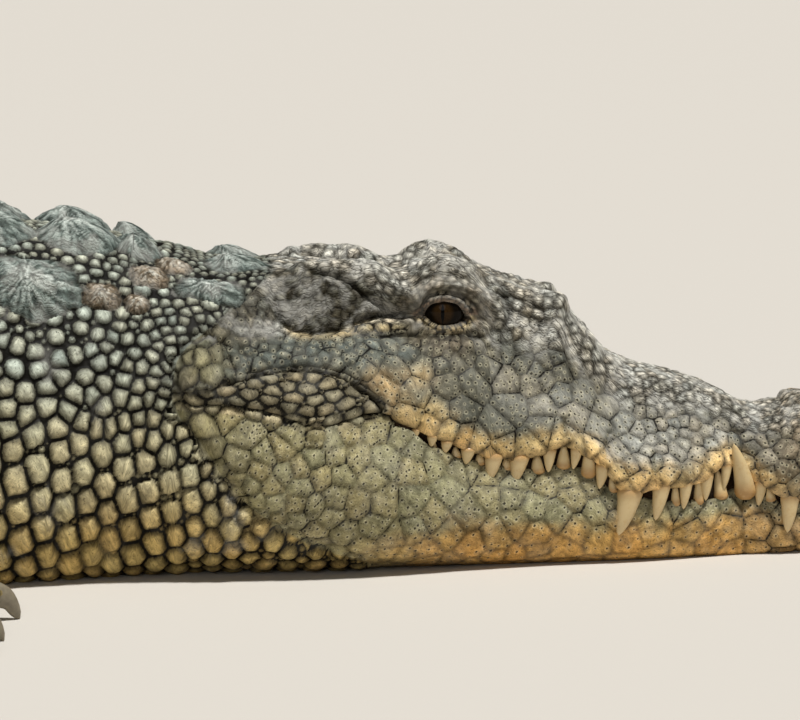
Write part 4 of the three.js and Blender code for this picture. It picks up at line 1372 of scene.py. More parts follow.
def crest_keel(s, y):
    """An upright keel of skin and horn that rises backwards: its vertices, its faces and how
    far up the keel each vertex is."""
    height = float(crest_height(s))
    half_height = float(body_top(s)) / 2
    base = half_height + half_height * math.sqrt(max(1 - (y / float(body_width(s))) ** 2, 0.2)) - 3
    foot = -min(12, base * 0.3)
    t = np.linspace(0, 1, 18)
    fall = np.clip((t - KEEL_PEAK) / (1 - KEEL_PEAK), 0, 1)
    rise = np.sin(np.clip(t / KEEL_PEAK, 0, 1) * math.pi / 2) ** 0.9
    edge = foot + (height - foot) * rise
    edge = mix(edge, foot, fall**1.6)
    lean = 3.0 * np.sin(fall * math.pi)
    along = (t - 0.47) * WHORL_STEP * 1.14
    up = np.concatenate([KEEL_LEVELS, [1.0], KEEL_LEVELS[::-1]])
    side = np.sign(np.arange(len(up)) - len(KEEL_LEVELS))
    thick = mix(8.5, 1.6, up**0.45) * np.sqrt(1 - np.clip((up - 0.9) / 0.1, 0, 1) ** 2 * 0.9)
    ends = np.sqrt(np.clip(1 - np.abs(2 * t - 1) ** 6, 0.02, 1))
    grid = np.empty((len(t), len(up), 3))
    grid[..., 0] = s + along[:, None] + lean[:, None] * up
    grid[..., 1] = y + side * thick * ends[:, None]
    grid[..., 2] = base + foot + (edge - foot)[:, None] * up
    count = grid.shape[:2]
    return grid.reshape(-1, 3), grid_faces(*count), np.tile(up, count[0])


def crest_places(start, end):
    """Where the keels stand: two rows that close up on each other, then one row."""
    places = []
    for n in range(36):
        s = WHORL_START + n * WHORL_STEP
        apart = float(body_width(s)) * float(mix(0.4, 0.1, smooth(s, 1900, CREST_MERGE)))
        if start <= s < end:
            places += [(s, -apart), (s, apart)] if s < CREST_MERGE else [(s, 0.0)]
    return places


# ---------------------------------------------------------------- colours
OLIVE = (98, 96, 83)
# The head's pale top, partly its own colour and partly painted light from above; also a painted
# highlight along the crest.
CROWN_PALE_AND_LIT = (206, 201, 186)
SNOUT_SIDE = (96, 95, 84)
SNOUT_TIP = (168, 146, 112)
GOLD = (222, 188, 126)
RUST = (190, 156, 108)
JAW_OLIVE = (150, 142, 105)
JAW_GOLD = (198, 153, 84)
FOLD_TAN = (174, 162, 130)
CHEEK_RUST = (186, 158, 112)
CHEEK_BLUE = (98, 103, 95)
# Darker skin of the ear's flap and behind it, partly painted shade under the crest.
EAR_DARK_AND_SHADE = (62, 58, 47)
LID_TAN = (132, 120, 102)
LID_YELLOW = (236, 212, 160)
LID_RIM = (196, 156, 126)
# Near-black and brown of gaps: painted shade in creases and slits; between the neck's beads,
# partly the skin's own dark colour and partly painted shade.
GAP_DARK_AND_SHADE = (10, 9, 5)
GAP_BROWN = (46, 35, 18)
# Painted shade in the groove of the mouth and where the lids tuck in round the eye.
RECESS_SHADE = (62, 44, 28)
HORN_BROWN = (128, 108, 84)
HORN_GREY = (90, 101, 95)
# Pale keels and rays, partly paler horn and partly painted highlight; dark for painted shade in
# the furrows.
HORN_PALE_AND_LIT = (212, 216, 206)
HORN_FURROW_SHADE = (30, 34, 29)
BEAD_TOP = (168, 172, 156)
BEAD_MIDDLE = (180, 172, 138)
BEAD_LOW = (172, 148, 92)
BACK_HORN = (110, 110, 90)
BODY_TOP = (120, 118, 94)
TAIL_OLIVE = (112, 108, 84)
BODY_BAR = (58, 56, 42)
BELLY = (206, 190, 142)
LEG_OLIVE = (150, 140, 100)
PATCH_DARK = (92, 88, 72)
PATCH_PALE = (190, 180, 150)
# Painted shade in the nostril's slit.
NOSTRIL_SHADE = (24, 18, 12)


def paint_head(front, nostril):
    """The head's colours, from the large fields to the small marks, then its pits and wrinkles."""
    skin = front.skin
    s, z = skin.s, skin.z
    blotch = lumps(skin.places, 26, 3)
    fleck = lumps(skin.places, 9, 4)
    upper = front.upper.astype(float)
    paint_skull(skin, upper, blotch)
    over_lip = z - lip_height(s, upper_lip) + 5 * blotch + 3 * fleck
    gold = upper * smooth(26 - over_lip, 0, 18) * smooth(MOUTH_CORNER + 20 - s, 0, 20)
    skin.paint(0.9 * gold, GOLD)
    skin.paint(0.5 * gold * smooth(10 - over_lip, 0, 8), RUST)
    skin.paint(0.5 * gold * smooth(110 - s, 0, 60), RUST)
    low = paint_jaw(skin, upper, blotch, fleck)
    folds = smooth(s, 424, 440) * smooth(z, 128, 140) * smooth(fold_high(s) - z, -4, 6)
    folds = folds * (z > fold_low(s) - 6)
    flap = paint_cheek(skin, upper, folds)
    paint_lids(skin, upper)
    skin.paint(0.35 * smooth(blotch, 0.1, 0.8), PATCH_DARK)
    skin.paint(0.22 * smooth(fleck, 0.2, 0.9), PATCH_PALE)
    # Painted shade in the groove of the mouth between the lips.
    skin.paint(front.in_mouth.astype(float), RECESS_SHADE)
    # Painted shade in the slit of the nostril.
    skin.paint(nostril[1], NOSTRIL_SHADE, nostril[0])
    bare = np.maximum(wrinkled(skin), faces_up(skin, 0.5, 0.85)) * upper
    skin.pit[:] = upper * (1 - bare) * smooth(590 - s, 0, 40)
    skin.pit += (1 - upper) * smooth(600 - s, 0, 60)
    skin.pit *= 1 - 0.7 * folds
    skin.pit *= 1 - 0.45 * low
    skin.pit *= 1 - 0.7 * gold * smooth(11 - over_lip, 0, 5)
    bare = bare * (1 - 0.35 * flap)
    on_lids = smooth(34 - lid_distance(skin), 0, 10) * (skin.wide > CROWN_HALF)
    skin.crumple[:] = 0.1 + 0.8 * bare * (1 - 0.85 * on_lids)
    fading = np.maximum(lumps(skin.places, 34, 53), 0) * (1 - upper)
    skin.edge += 1.6 * fading * smooth(s, 60, 200)


def paint_skull(skin, upper, blotch):
    """Grey sides, a pale top that is partly painted light from above, and a brown snout tip above
    the mouth, olive below it.
    """
    s = skin.s
    skin.tint[:] = linear(*OLIVE)
    skin.paint(smooth(-s, -300, -230) * upper, SNOUT_SIDE)
    # Painted top light: skin that faces up is painted paler, partly its own paler colour.
    pale_lit_top = faces_up(skin, 0.15, 0.95) * upper
    pale_lit_top = pale_lit_top * (1 - 0.9 * smooth(s + 30 * blotch, 460, 590))
    skin.paint(0.9 * pale_lit_top, CROWN_PALE_AND_LIT)
    skin.paint(0.7 * wrinkled(skin) ** 2 * upper * smooth(400 - s, 0, 20), CROWN_PALE_AND_LIT)
    skin.paint(0.6 * smooth(95 - s, 0, 60) * upper, SNOUT_TIP)
    skin.paint(0.7 * (1 - upper), JAW_OLIVE)


def paint_jaw(skin, upper, blotch, fleck):
    """Olive, golden below and rusty in front. Gives back how golden each place is."""
    s, z = skin.s, skin.z
    jaw = (1 - upper) * smooth(lip_height(s, lower_lip) - z, 6, 20)
    behind = (s > MOUTH_CORNER) * smooth(fold_low(s) - z, -3, 2)
    jaw = np.maximum(jaw, behind)
    skin.paint(behind, JAW_OLIVE)
    skin.paint(0.7 * jaw, JAW_OLIVE)
    low = jaw * smooth(50 - z + 12 * blotch + 6 * fleck, 0, 28) * smooth(480 - s, 0, 130)
    skin.paint(0.9 * low, JAW_GOLD)
    skin.paint(0.5 * jaw * smooth(120 - s, 0, 60), RUST)
    return low


def paint_cheek(skin, upper, folds):
    """The folds behind the mouth, the cheek, the ear's flap, darker partly with painted shade
    under the crest, and its slit, painted as shade. Gives back how far each place is on the flap."""
    s, z = skin.s, skin.z
    skin.paint(0.8 * folds, FOLD_TAN)
    skin.draw([(393, 134), (410, 154), (430, 172), (445, 180)], 9, 0.7, CHEEK_RUST)
    skin.paint(0.8 * skin.bump(393, 171, 13, 9, 0), CHEEK_RUST)
    skin.draw([(360, 128), (376, 138), (396, 152)], 9, 0.55, GOLD)
    flap = smooth(crest_foot(s) - z, -3, 6) * smooth(z - flap_foot(s), -2, 3)
    flap = flap * smooth(s, 402, 420) * smooth(520 - s, 0, 10) * (skin.wide > 50)
    # The flap is darker: partly its own colour, partly painted shade under the overhang of the
    # crest.
    skin.paint(0.8 * flap, EAR_DARK_AND_SHADE)
    # A pale line along the crest's ridge, partly painted highlight.
    skin.draw(CREST, 8, 0.9, CROWN_PALE_AND_LIT)
    skin.draw([(x, float(flap_foot(x)) - 4) for x in range(440, 516, 12)], 2.6, 0.7, LID_YELLOW)
    cheek = smooth(s, 380, 410) * smooth(600 - s, 0, 40) * smooth(210 - z, 0, 8)
    skin.paint(0.8 * cheek * smooth(z, 176, 190) * upper, CHEEK_BLUE)
    skin.paint(0.6 * smooth(s, 505, 540) * smooth(z, 196, 214) * upper, EAR_DARK_AND_SHADE)
    skin.paint(0.7 * bell(np.hypot((s - 581) / 19, (z - 190) / 21), 1) * upper, JAW_OLIVE)
    # Painted shade in the ear's slit.
    skin.draw(EAR_SLIT, 3.2, 1, GAP_DARK_AND_SHADE, ends=0.03)
    skin.draw([(450, 212), (424, 212.5), (396, 211.5)], 3.5, 0.8, LID_YELLOW)
    return flap


def lid_distance(skin):
    """How far each place is from the middle of the lids, seen from the side."""
    return np.hypot((skin.s - 367) / 1.15, skin.z - 224)


def paint_lids(skin, upper):
    """Tan skin round the eye, painted shade in the creases of the folds and in the eye's opening,
    and the yellow and pink rims of the lids.
    """
    s, z, wide = skin.s, skin.z, skin.wide
    skin.paint(0.5 * smooth(46 - lid_distance(skin), 0, 18) * (wide > CROWN_HALF) * upper, LID_TAN)
    # Painted shade: the crease of each deep fold is drawn dark.
    for points, depth, width in HEAD_FOLDS + LID_FOLDS:
        if depth < -1.5:
            skin.draw(points, 0.6 * width + 0.8, min(-0.26 * depth, 0.9), GAP_DARK_AND_SHADE)
    opening = eye_opening(s, z)
    below = bell(opening + 0.9, 3.0) * (wide > 40) * (np.abs(s - 364) < 34)
    skin.paint(0.95 * below * smooth(220 - z, 0, 3), LID_YELLOW)
    by_eye = (wide > 40) * (np.abs(s - EYE_S) < 30)
    skin.paint(0.85 * bell(opening + 1.8, 2.2) * by_eye * (z >= 219), LID_RIM)
    # Painted shade where the lids tuck in round the eyeball.
    skin.paint(smooth(opening, 0.6, 1.6) * by_eye, RECESS_SHADE)


def paint_neck(skin, near, bead):
    """Beads grey-green above and golden below, on near-black ground that is partly the skin's own
    dark colour and partly painted shade between the beads.
    """
    z = skin.z[near]
    share = neck_share(skin.s[near], z)
    blotch = lumps(skin.places[near], 40, 7)
    height = z + 12 * blotch
    colour = linear(*BEAD_LOW) + 0 * z[:, None]
    colour = mix(colour, linear(*BEAD_MIDDLE), smooth(height, 30, 110)[:, None])
    colour = mix(colour, linear(*BEAD_TOP), smooth(height, 120, 200)[:, None])
    skin.tint[near] = mix(skin.tint[near], colour, share[:, None])
    # The ground between the beads: partly its own dark colour, partly painted shade in the gaps.
    ground = share * (1 - smooth(skin.edge[near], -1.0, 0.2)) * bead
    skin.paint(0.92 * ground, GAP_DARK_AND_SHADE, near)
    skin.paint(0.6 * ground * smooth(70 - z, 0, 50), GAP_BROWN, near)
    skin.crumple[near] = mix(skin.crumple[near], 0.05 + 0.3 * smooth(blotch, 0.2, 0.6), share)
    skin.pit[near] *= 1 - share


def paint_body(skin, near, bead, limb=0.0):
    """The neck's colours run on over the body, with faint dark bars on its back and tail."""
    s, z = skin.s[near], skin.z[near]
    skin.tint[near] = linear(*BEAD_TOP)
    paint_neck(skin, near, bead)
    place = skin.places[near]
    blotch = lumps(place, 55, 12) + 0.5 * lumps(place, 22, 13)
    height = z / body_top(s)
    high = smooth(height + 0.12 * blotch, 0.1, 0.6)
    skin.paint(0.5 * smooth(s, 900, 1100) * high, BODY_TOP, near)
    skin.paint(0.6 * smooth(s, 1000, 1850), TAIL_OLIVE, near)
    pale = smooth(-height - 0.12 * blotch, -0.3, -0.08) * smooth(s, 900, 1000)
    skin.paint(0.8 * pale * (1 - limb), BELLY, near)
    bar = smooth(np.sin(2 * math.pi * s / (2.5 * WHORL_STEP)) + 0.8 * blotch, 0.3, 0.9)
    skin.paint(0.55 * bar * high * smooth(s, 950, 1150) * (1 - limb), BODY_BAR, near)
    skin.paint(0.45 * limb * (1 - 0.5 * high), LEG_OLIVE, near)
    skin.paint(0.4 * limb * smooth(blotch, 0.1, 0.6), BODY_BAR, near)


def shade_scales(skin, near, scales, core):
    """Each scale is a little lighter, darker, warmer or cooler than its neighbours."""
    shade = scales.shade[core]
    bright = 1 + 0.17 * shade[:, 0]
    warm = 0.05 * shade[:, 1]
    factor = np.stack([bright + warm, bright, bright - warm], axis=1)
    skin.tint[near] *= factor


# ---------------------------------------------------------------- into the frame of the CAD
BEND_RADIUS = (TOTAL_LENGTH - TAIL_BEND_START) / TAIL_BEND_ANGLE


def to_world(places):
    """Places in metres in the part's frame: s runs back from the snout tip; the tail bends."""
    s, y, z = places[..., 0], places[..., 1], places[..., 2]
    turn = np.maximum(s - TAIL_BEND_START, 0) / BEND_RADIUS
    x = -np.minimum(s, TAIL_BEND_START) - (BEND_RADIUS - y) * np.sin(turn)
    across = BEND_RADIUS - (BEND_RADIUS - y) * np.cos(turn)
    return np.stack([TIP_X + x * MM, across * MM, z * MM], axis=-1)


def normals_to_world(places, normals):
    turn = np.maximum(places[..., 0] - TAIL_BEND_START, 0) / BEND_RADIUS
    along, y = normals[..., 0], normals[..., 1]
    x = -along * np.cos(turn) + y * np.sin(turn)
    return np.stack([x, along * np.sin(turn) + y * np.cos(turn), normals[..., 2]], axis=-1)


def new_piece(name, vertices, faces, material, replaced=(), normals=None, uv=None):
    """A smooth mesh, with the normals and the UV places (one for each vertex) it is given."""
    mesh = bpy.data.meshes.new(name)
    mesh.vertices.add(len(vertices))
    mesh.vertices.foreach_set("co", np.ascontiguousarray(vertices, np.float32).ravel())
    faces = np.asarray(faces)
    mesh.loops.add(faces.size)
    mesh.loops.foreach_set("vertex_index", faces.ravel().astype(np.int32))
    mesh.polygons.add(len(faces))
    starts = np.arange(0, faces.size, faces.shape[1], dtype=np.int32)
    mesh.polygons.foreach_set("loop_start", starts)
    mesh.update(calc_edges=True)
    mesh.validate()
    mesh.shade_smooth()
    if uv is not None:
        layer = mesh.uv_layers.new(name="OFBake")
        layer.data.foreach_set("uv", uv[faces.ravel()].astype(np.float32).ravel())
    if normals is not None:
        mesh.normals_split_custom_set_from_vertices(normals.tolist())
    mesh.materials.append(material)
    piece = add_object(name, mesh)
    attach(piece, "root")
    if replaced:
        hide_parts(*replaced)
    return piece


def add_value(mesh, name, kind, values):
    layer = mesh.attributes.new(name, kind, "POINT")
    field = {"FLOAT": "value", "FLOAT_VECTOR": "vector", "FLOAT_COLOR": "color"}[kind]
    layer.data.foreach_set(field, np.ascontiguousarray(values, np.float32).ravel())


def add_skin_values(piece, skin, index, lie):
    """Hands the skin's colour and relief values to the material."""
    tint = np.concatenate([skin.tint[index], np.ones((len(index), 1))], axis=1)
    add_value(piece.data, "tint", "FLOAT_COLOR", tint)
    add_value(piece.data, "lie", "FLOAT_VECTOR", lie)
    for name in ("edge", "spot", "pit", "crumple"):
        add_value(piece.data, name, "FLOAT", getattr(skin, name)[index])


def grid_faces(rows, columns):
    corner = np.arange(rows * columns).reshape(rows, columns)[:-1, :-1].ravel()
    return np.stack([corner, corner + columns, corner + columns + 1, corner + 1], axis=1)


def grid_piece(name, skin, index, material, replaced):
    """A piece made from a block of a grid: index[station, row] are places of the skin."""
    rows, columns = index.shape
    flat = index.ravel()
    places = skin.places[flat]
    grid = places.reshape(rows, columns, 3)
    arc = np.cumsum(np.linalg.norm(np.diff(grid, axis=1, prepend=grid[:, :1]), axis=2), axis=1)
    lie = np.stack([places[:, 0], arc.ravel(), 0 * arc.ravel()], axis=1)
    spans = [np.linspace(0.01, 0.99, count) for count in (rows, columns)]
    uv = np.stack([part.ravel() for part in np.meshgrid(*spans, indexing="ij")], axis=1)
    normals = normals_to_world(places, skin.normals[flat])
    faces = grid_faces(rows, columns)
    piece = new_piece(name, to_world(places), faces, material, replaced, normals, uv)
    add_skin_values(piece, skin, flat, lie)


# ---------------------------------------------------------------- materials
def wire(tree, node, inputs):
    """Sets the inputs of a node, and links those whose value is the output of another."""
    for key, value in dict(inputs).items():
        if isinstance(value, bpy.types.NodeSocket):
            tree.links.new(value, node.inputs[key])
        else:
            node.inputs[key].default_value = value


def add_node(tree, kind, inputs=(), **settings):
    node = tree.nodes.new(kind)
    for key, value in settings.items():
        setattr(node, key, value)
    wire(tree, node, inputs)
    return node


class Recipe:
    """A node material, put together one step at a time."""

    def __init__(self, name):
        self.material = bpy.data.materials.new(name)
        self.material.use_nodes = True
        self.tree = self.material.node_tree

    def node(self, kind, inputs=(), **settings):
        return add_node(self.tree, kind, inputs, **settings)

    def maths(self, operation, *values):
        return self.node("ShaderNodeMath", enumerate(values), operation=operation).outputs[0]

    def times(self, a, b):
        return self.maths("MULTIPLY", a, b)

    def times_plus(self, a, b, c):
        return self.maths("MULTIPLY_ADD", a, b, c)

    def fade(self, value, low, high):
        """0 where value is below low and 1 where it is above high."""
        inputs = {"Value": value, "From Min": low, "From Max": high}
        return self.node("ShaderNodeMapRange", inputs, interpolation_type="SMOOTHSTEP").outputs[0]

    def below(self, value, low, high):
        """1 where value is below low and 0 where it is above high."""
        return self.maths("SUBTRACT", 1.0, self.fade(value, low, high))

    def away(self, value, middle):
        """How far value is from a middle value."""
        return self.maths("ABSOLUTE", self.maths("SUBTRACT", value, middle))

    def field(self, name, kind="Fac"):
        """A value held by the mesh."""
        return self.node("ShaderNodeAttribute", attribute_name=name).outputs[kind]

    def blend(self, share, a, b, mode="MIX"):
        sockets = {0: share, 6: a, 7: b}
        mixer = self.node("ShaderNodeMix", sockets, data_type="RGBA", blend_type=mode)
        return mixer.outputs[2]

    def cover(self, colour, share, strength, over):
        """Another colour over the first where share says so."""
        return self.blend(self.times(share, strength), colour, shade(*over))

    def noise(self, place, scale, detail=2.0):
        inputs = {"Vector": place, "Scale": scale, "Detail": detail}
        return self.node("ShaderNodeTexNoise", inputs).outputs["Fac"]

    def finish(self, colour, roughness, height=None, depth=0.001, specular=0.5):
        """The finished material; height is a relief whose full depth is given in metres."""
        look = {"Base Color": colour, "Roughness": roughness, "Specular IOR Level": specular}
        if height is not None:
            inputs = {"Strength": 1.0, "Distance": depth, "Height": height}
            look["Normal"] = self.node("ShaderNodeBump", inputs).outputs[0]
        wire(self.tree, self.tree.nodes["Principled BSDF"], look)
        return self.material


PIT_RING = (206, 198, 166)
PIT_DARK = (9, 8, 5)
FLECK_DARK = (30, 26, 17)
# Painted shade towards the edges of the scales.
SCALE_EDGE_SHADE = (36, 31, 18)
# The cracks: partly the joints' own dark colour, partly painted shade.
CRACK_DARK_AND_SHADE = (8, 6, 3)
WRINKLE_PALE = (220, 217, 206)
# Painted shade in the creases of the wrinkles.
WRINKLE_SHADE = (14, 12, 8)
IVORY = (208, 184, 136)
IVORY_ROOT = (174, 134, 80)
IVORY_STREAK = (196, 164, 112)
IRIS_DARK = (24, 16, 7)
IRIS_LIGHT = (54, 37, 17)
IRIS_RIM = (14, 10, 6)
PUPIL_BLACK = (4, 4, 4)
CLAW_DARK = (92, 84, 70)
CLAW_PALE = (136, 126, 104)


def hide_material(name):
    """Scaly skin: its cracks, pits and wrinkles, over the colours held by the mesh, with a painted
    highlight on each scale's middle and painted shade at its edges, in its cracks and wrinkles.
    """
    r = Recipe(name)
    lie = r.field("lie", "Vector")
    pitted = r.field("pit")
    # Depth inside a scale in mm; the noise makes the cracks wander and, on plates, fade.
    wander = r.times(r.maths("SUBTRACT", r.noise(lie, 0.3, 3.0), 0.5), 1.8)
    drift = r.times(r.maths("SUBTRACT", r.noise(lie, 0.07, 3.0), 0.47), 3.4)
    edge = r.times_plus(drift, pitted, r.maths("ADD", r.field("edge"), wander))
    centre = r.fade(edge, 0.6, 6.0)
    spot = r.field("spot")
    pit = r.below(spot, 0.6, 1.35)
    ring = r.times(pitted, r.below(spot, 1.3, 2.9))
    grain = r.noise(lie, 0.75, 4.0)
    colour = r.cover(r.field("tint", "Color"), ring, 0.3, PIT_RING)
    # Random mottling and grain; the middle of each scale is made lighter, a painted highlight.
    light = r.times_plus(r.noise(lie, 0.12, 4.0), 2.0, -0.08)
    light = r.times(light, r.times_plus(grain, 1.1, 0.48))
    light = r.times(light, r.times_plus(centre, r.times_plus(pitted, -0.2, 0.46), 0.8))
    tone = r.node("ShaderNodeCombineColor", {0: light, 1: light, 2: light}).outputs[0]
    colour = r.blend(1.0, colour, tone, "MULTIPLY")
    colour = r.cover(colour, r.fade(r.noise(lie, 0.42, 3.0), 0.55, 0.68), 0.5, FLECK_DARK)
    # Painted shade towards the edges of each scale, weaker on pitted skin.
    edge_shade = r.times_plus(pitted, -0.46, 0.72)
    colour = r.cover(colour, r.below(edge, 0.0, 4.5), edge_shade, SCALE_EDGE_SHADE)
    # The cracks near-black: partly the joints' own dark colour, partly painted shade.
    colour = r.cover(colour, r.below(edge, 0.1, 0.95), 0.95, CRACK_DARK_AND_SHADE)
    colour = r.cover(colour, pit, 0.88, PIT_DARK)
    # Wrinkles: thin lines where a noise crosses its middle value, drawn out along the body.
    drawn = r.node("ShaderNodeVectorMath", {0: lie, 1: (0.5, 1.0, 1.0)}, operation="MULTIPLY")
    fine = r.away(r.noise(drawn.outputs[0], 0.2, 1.5), 0.5)
    broad = r.away(r.noise(drawn.outputs[0], 0.09, 3.0), 0.5)
    crumple = r.field("crumple")
    pale = r.times(r.fade(r.noise(lie, 0.04, 3.0), 0.45, 0.62), crumple)
    colour = r.cover(colour, pale, 0.45, WRINKLE_PALE)
    shallow = r.times(r.below(fine, 0.0, 0.035), 0.6)
    deep = r.times(r.below(broad, 0.0, 0.016), 0.85)
    # Painted shade along the wrinkles' creases.
    colour = r.cover(colour, crumple, r.maths("MAXIMUM", shallow, deep), WRINKLE_SHADE)
    folds = r.times_plus(r.fade(broad, 0.0, 0.05), 0.8, r.times(r.fade(fine, 0.0, 0.07), 0.8))
    height = r.times_plus(r.times(folds, crumple), 1.0, r.times(grain, 0.45))
    height = r.maths("SUBTRACT", height, pit)
    roughness = r.times_plus(grain, 0.3, 0.42)
    return r.finish(colour, roughness, height, specular=0.09)


def tooth_material():
    """Ivory, browner and streaked towards the root."""
    r = Recipe("tooth")
    place = r.field("lie", "Vector")
    root = r.below(r.field("edge"), 0.0, 0.35)
    colour = r.blend(root, shade(*IVORY), shade(*IVORY_ROOT))
    streak = r.fade(r.noise(place, 0.25, 4.0), 0.5, 0.7)
    colour = r.cover(colour, streak, 0.5, IVORY_STREAK)
    return r.finish(colour, 0.38, r.noise(place, 0.9, 2.0), 0.0002)


PUPIL_HALF_HEIGHT = 9.0
PUPIL_HALF_WIDTH = 1.5


def eye_material():
    """A dark olive-brown iris with an upright slit pupil under a clear wet surface."""
    r = Recipe("eye")
    place = r.field("lie", "Vector")
    parts = r.node("ShaderNodeSeparateXYZ", {0: place})
    across, up = parts.outputs[0], parts.outputs[1]
    share = r.maths("ABSOLUTE", r.maths("DIVIDE", up, PUPIL_HALF_HEIGHT))
    reach = r.maths("SUBTRACT", 1.0, r.maths("POWER", share, 2.0))
    width = r.times(r.maths("MAXIMUM", reach, 0.0), PUPIL_HALF_WIDTH)
    outside = r.fade(r.maths("SUBTRACT", r.maths("ABSOLUTE", across), width), -0.2, 0.25)
    radius = r.maths("SQRT", r.times_plus(across, across, r.times(up, up)))
    iris = r.blend(r.noise(place, 0.8, 5.0), shade(*IRIS_DARK), shade(*IRIS_LIGHT))
    iris = r.blend(r.fade(radius, 6.0, 11.0), iris, shade(*IRIS_RIM))
    colour = r.blend(outside, shade(*PUPIL_BLACK), iris)
    return r.finish(colour, 0.08, specular=0.07)


def claw_material():
    """Grey-brown streaked horn."""
    r = Recipe("claw")
    streak = r.noise(r.field("lie", "Vector"), 0.22, 4.0)
    colour = r.blend(streak, shade(*CLAW_DARK), shade(*CLAW_PALE))
    return r.finish(colour, 0.45, streak, 0.0003)


# ---------------------------------------------------------------- teeth
UPPER_TEETH = [  # s, height, thickness, lean towards the snout, how far it stands out
    (14, 18, 8, 0, 0), (32, 20, 10, 0, 0), (58, 31, 16, -2, 0), (83, 20, 11, -2, 0),
    (115, 20, 9, -2, 0), (134, 21, 11, -1, 0), (154, 22, 11, -2, 0), (177, 29, 15, -5, 0),
    (205, 37, 21, -10, 1), (229, 20, 12, -3, 0), (252, 18, 10, -3, 0), (276, 18, 11, -1, 0),
    (303, 21, 16, -4, 0), (326, 21, 15, -4, 0), (349, 12, 12, -2, 0), (368, 10, 10, -2, 0),
    (381, 9, 9, -1, 0), (396, 6, 7, 0, 0),
]
LOWER_TEETH = [  # the same
    (12, 18, 10, 2, 0), (44, 14, 9, 0, 0), (74, 13, 9, -2, 0), (97, 47, 18, -13, 11),
    (119, 24, 12, -4, 1), (141, 24, 9, -1, 1), (163, 20, 8, -1, 1), (219, 17, 9, -1, 0),
    (241, 29, 13, 0, 3), (263, 20, 12, 0, 2), (286, 16, 12, -1, 1), (314, 12, 9, 0, 0),
    (338, 11, 9, 0, 0), (359, 10, 9, -1, 0), (380, 7, 7, 0, 0),
]
TOOTH_SIDES = 18
TOOTH_LEVELS = 18
UPPER_ROOT, LOWER_ROOT = 0.3, 0.14  # how much of a tooth is hidden by the lip, over its height


def tooth_rings(s, y, base, height, thick, lean, out):
    """Rings of a blunt, slightly curved tooth, from its root to its tip; height is less than 0
    for a tooth that hangs down, and out is how far its tip stands further from the midline."""
    turn = turns(TOOTH_SIDES)
    rings = []
    root = UPPER_ROOT if height < 0 else LOWER_ROOT
    for level in np.linspace(-root, 1, TOOTH_LEVELS):
        t = max(level, 0)
        taper = (max(1 - t**1.5, 0) ** 0.62 + 0.02) * min(1, (level + root) / root + 0.3) ** 0.5
        radius = thick / 2 * taper * (1 + 0.08 * math.exp(-((level / 0.12) ** 2)))
        rings.append(np.stack([
            s - lean * t**1.3 + radius * np.cos(turn),
            y + math.copysign(out * t, y) + 0.8 * radius * np.sin(turn),
            0 * turn + base + height * level,
        ], axis=1))
    return np.array(rings)


def add_teeth(name, table, lip, inset, down, material):
    """All the teeth of one jaw, in one mesh."""
    teeth = []
    for s, height, thick, lean, out in table:
        wide = max(float(lip_width(s)) - inset - 0.25 * thick + out, 3)
        for side in (-1, 1):
            size = height * rng.uniform(0.96, 1.04) * (-1 if down else 1)
            rings = tooth_rings(s, side * wide, float(lip(s)), size, thick, lean, 1.2 * out)
            quads = ring_quads(TOOTH_LEVELS, TOOTH_SIDES)
            teeth.append((rings.reshape(-1, 3), quads if down else quads[:, ::-1]))
    places, faces = joined(teeth)
    piece = new_piece(name, to_world(places), faces, material)
    add_value(piece.data, "lie", "FLOAT_VECTOR", places)
    depth = np.repeat(np.linspace(-0.1, 1, TOOTH_LEVELS), TOOTH_SIDES)
    add_value(piece.data, "edge", "FLOAT", np.tile(depth, len(teeth)))


# ---------------------------------------------------------------- eyes
EYE_RINGS, EYE_SIDES = 33, 48


def add_eye(name, side, node, material):
    """A ball in its lids, with its iris facing outwards and a little forwards."""
    look = unit(np.array([0.14, side, 0.0]))
    across = unit(np.cross(look, [0, 0, 1.0]))
    up = np.cross(across, look)
    own = sphere(np.linspace(0, math.pi, EYE_RINGS), EYE_SIDES).reshape(-1, 3) * EYE_RADIUS
    centre = EYE_CENTRE * [1, side, 1]
    places = centre + own[:, :1] * across + own[:, 1:2] * up + own[:, 2:] * look
    quads = ring_quads(EYE_RINGS, EYE_SIDES)
    if np.dot(np.cross(across, up), look) > 0:
        quads = quads[:, ::-1]
    piece = new_piece(name, to_world(places), quads, material, [node])
    add_value(piece.data, "lie", "FLOAT_VECTOR", own)


# ---------------------------------------------------------------- skin of the head and neck
PLATE_RELIEF = 1.4  # height of a cracked plate over its cracks


def finish_front(front, scales, nostril):
    """The relief and the colours of the head and neck."""
    skin = front.skin
    solid = np.flatnonzero(~front.in_mouth)
    strength = plate_strength(front)
    core, bead = lay_scales(skin, solid, scales, PLATE_RELIEF, strength[solid])
    on_head = 1 - neck_share(skin.s, skin.z)
    bony = front.upper * np.maximum(0.8 * (1 - strength), 0.12) + 0.06
    bony *= 1 - 0.8 * smooth(skin.s, 310, 340) * smooth(skin.z, 198, 210)
    skin.rise += bony * on_head * crinkle(skin.places)
    paint_head(front, nostril)
    pitted = (skin.pit > 0.4) & (on_head > 0.5) & (skin.spot > 8) & ~front.in_mouth
    dot_pits(skin, np.flatnonzero(pitted))
    paint_neck(skin, solid, bead)
    shade_scales(skin, solid, scales, core)
    lay_plates(skin, NAPE_PLATES, NAPE_LOOK, None, 2.6)
    skin.rise -= 0.8 * smooth(skin.s, NECK_END + 3.5, NECK_END + NECK_OVERLAP)
    skin.settle()


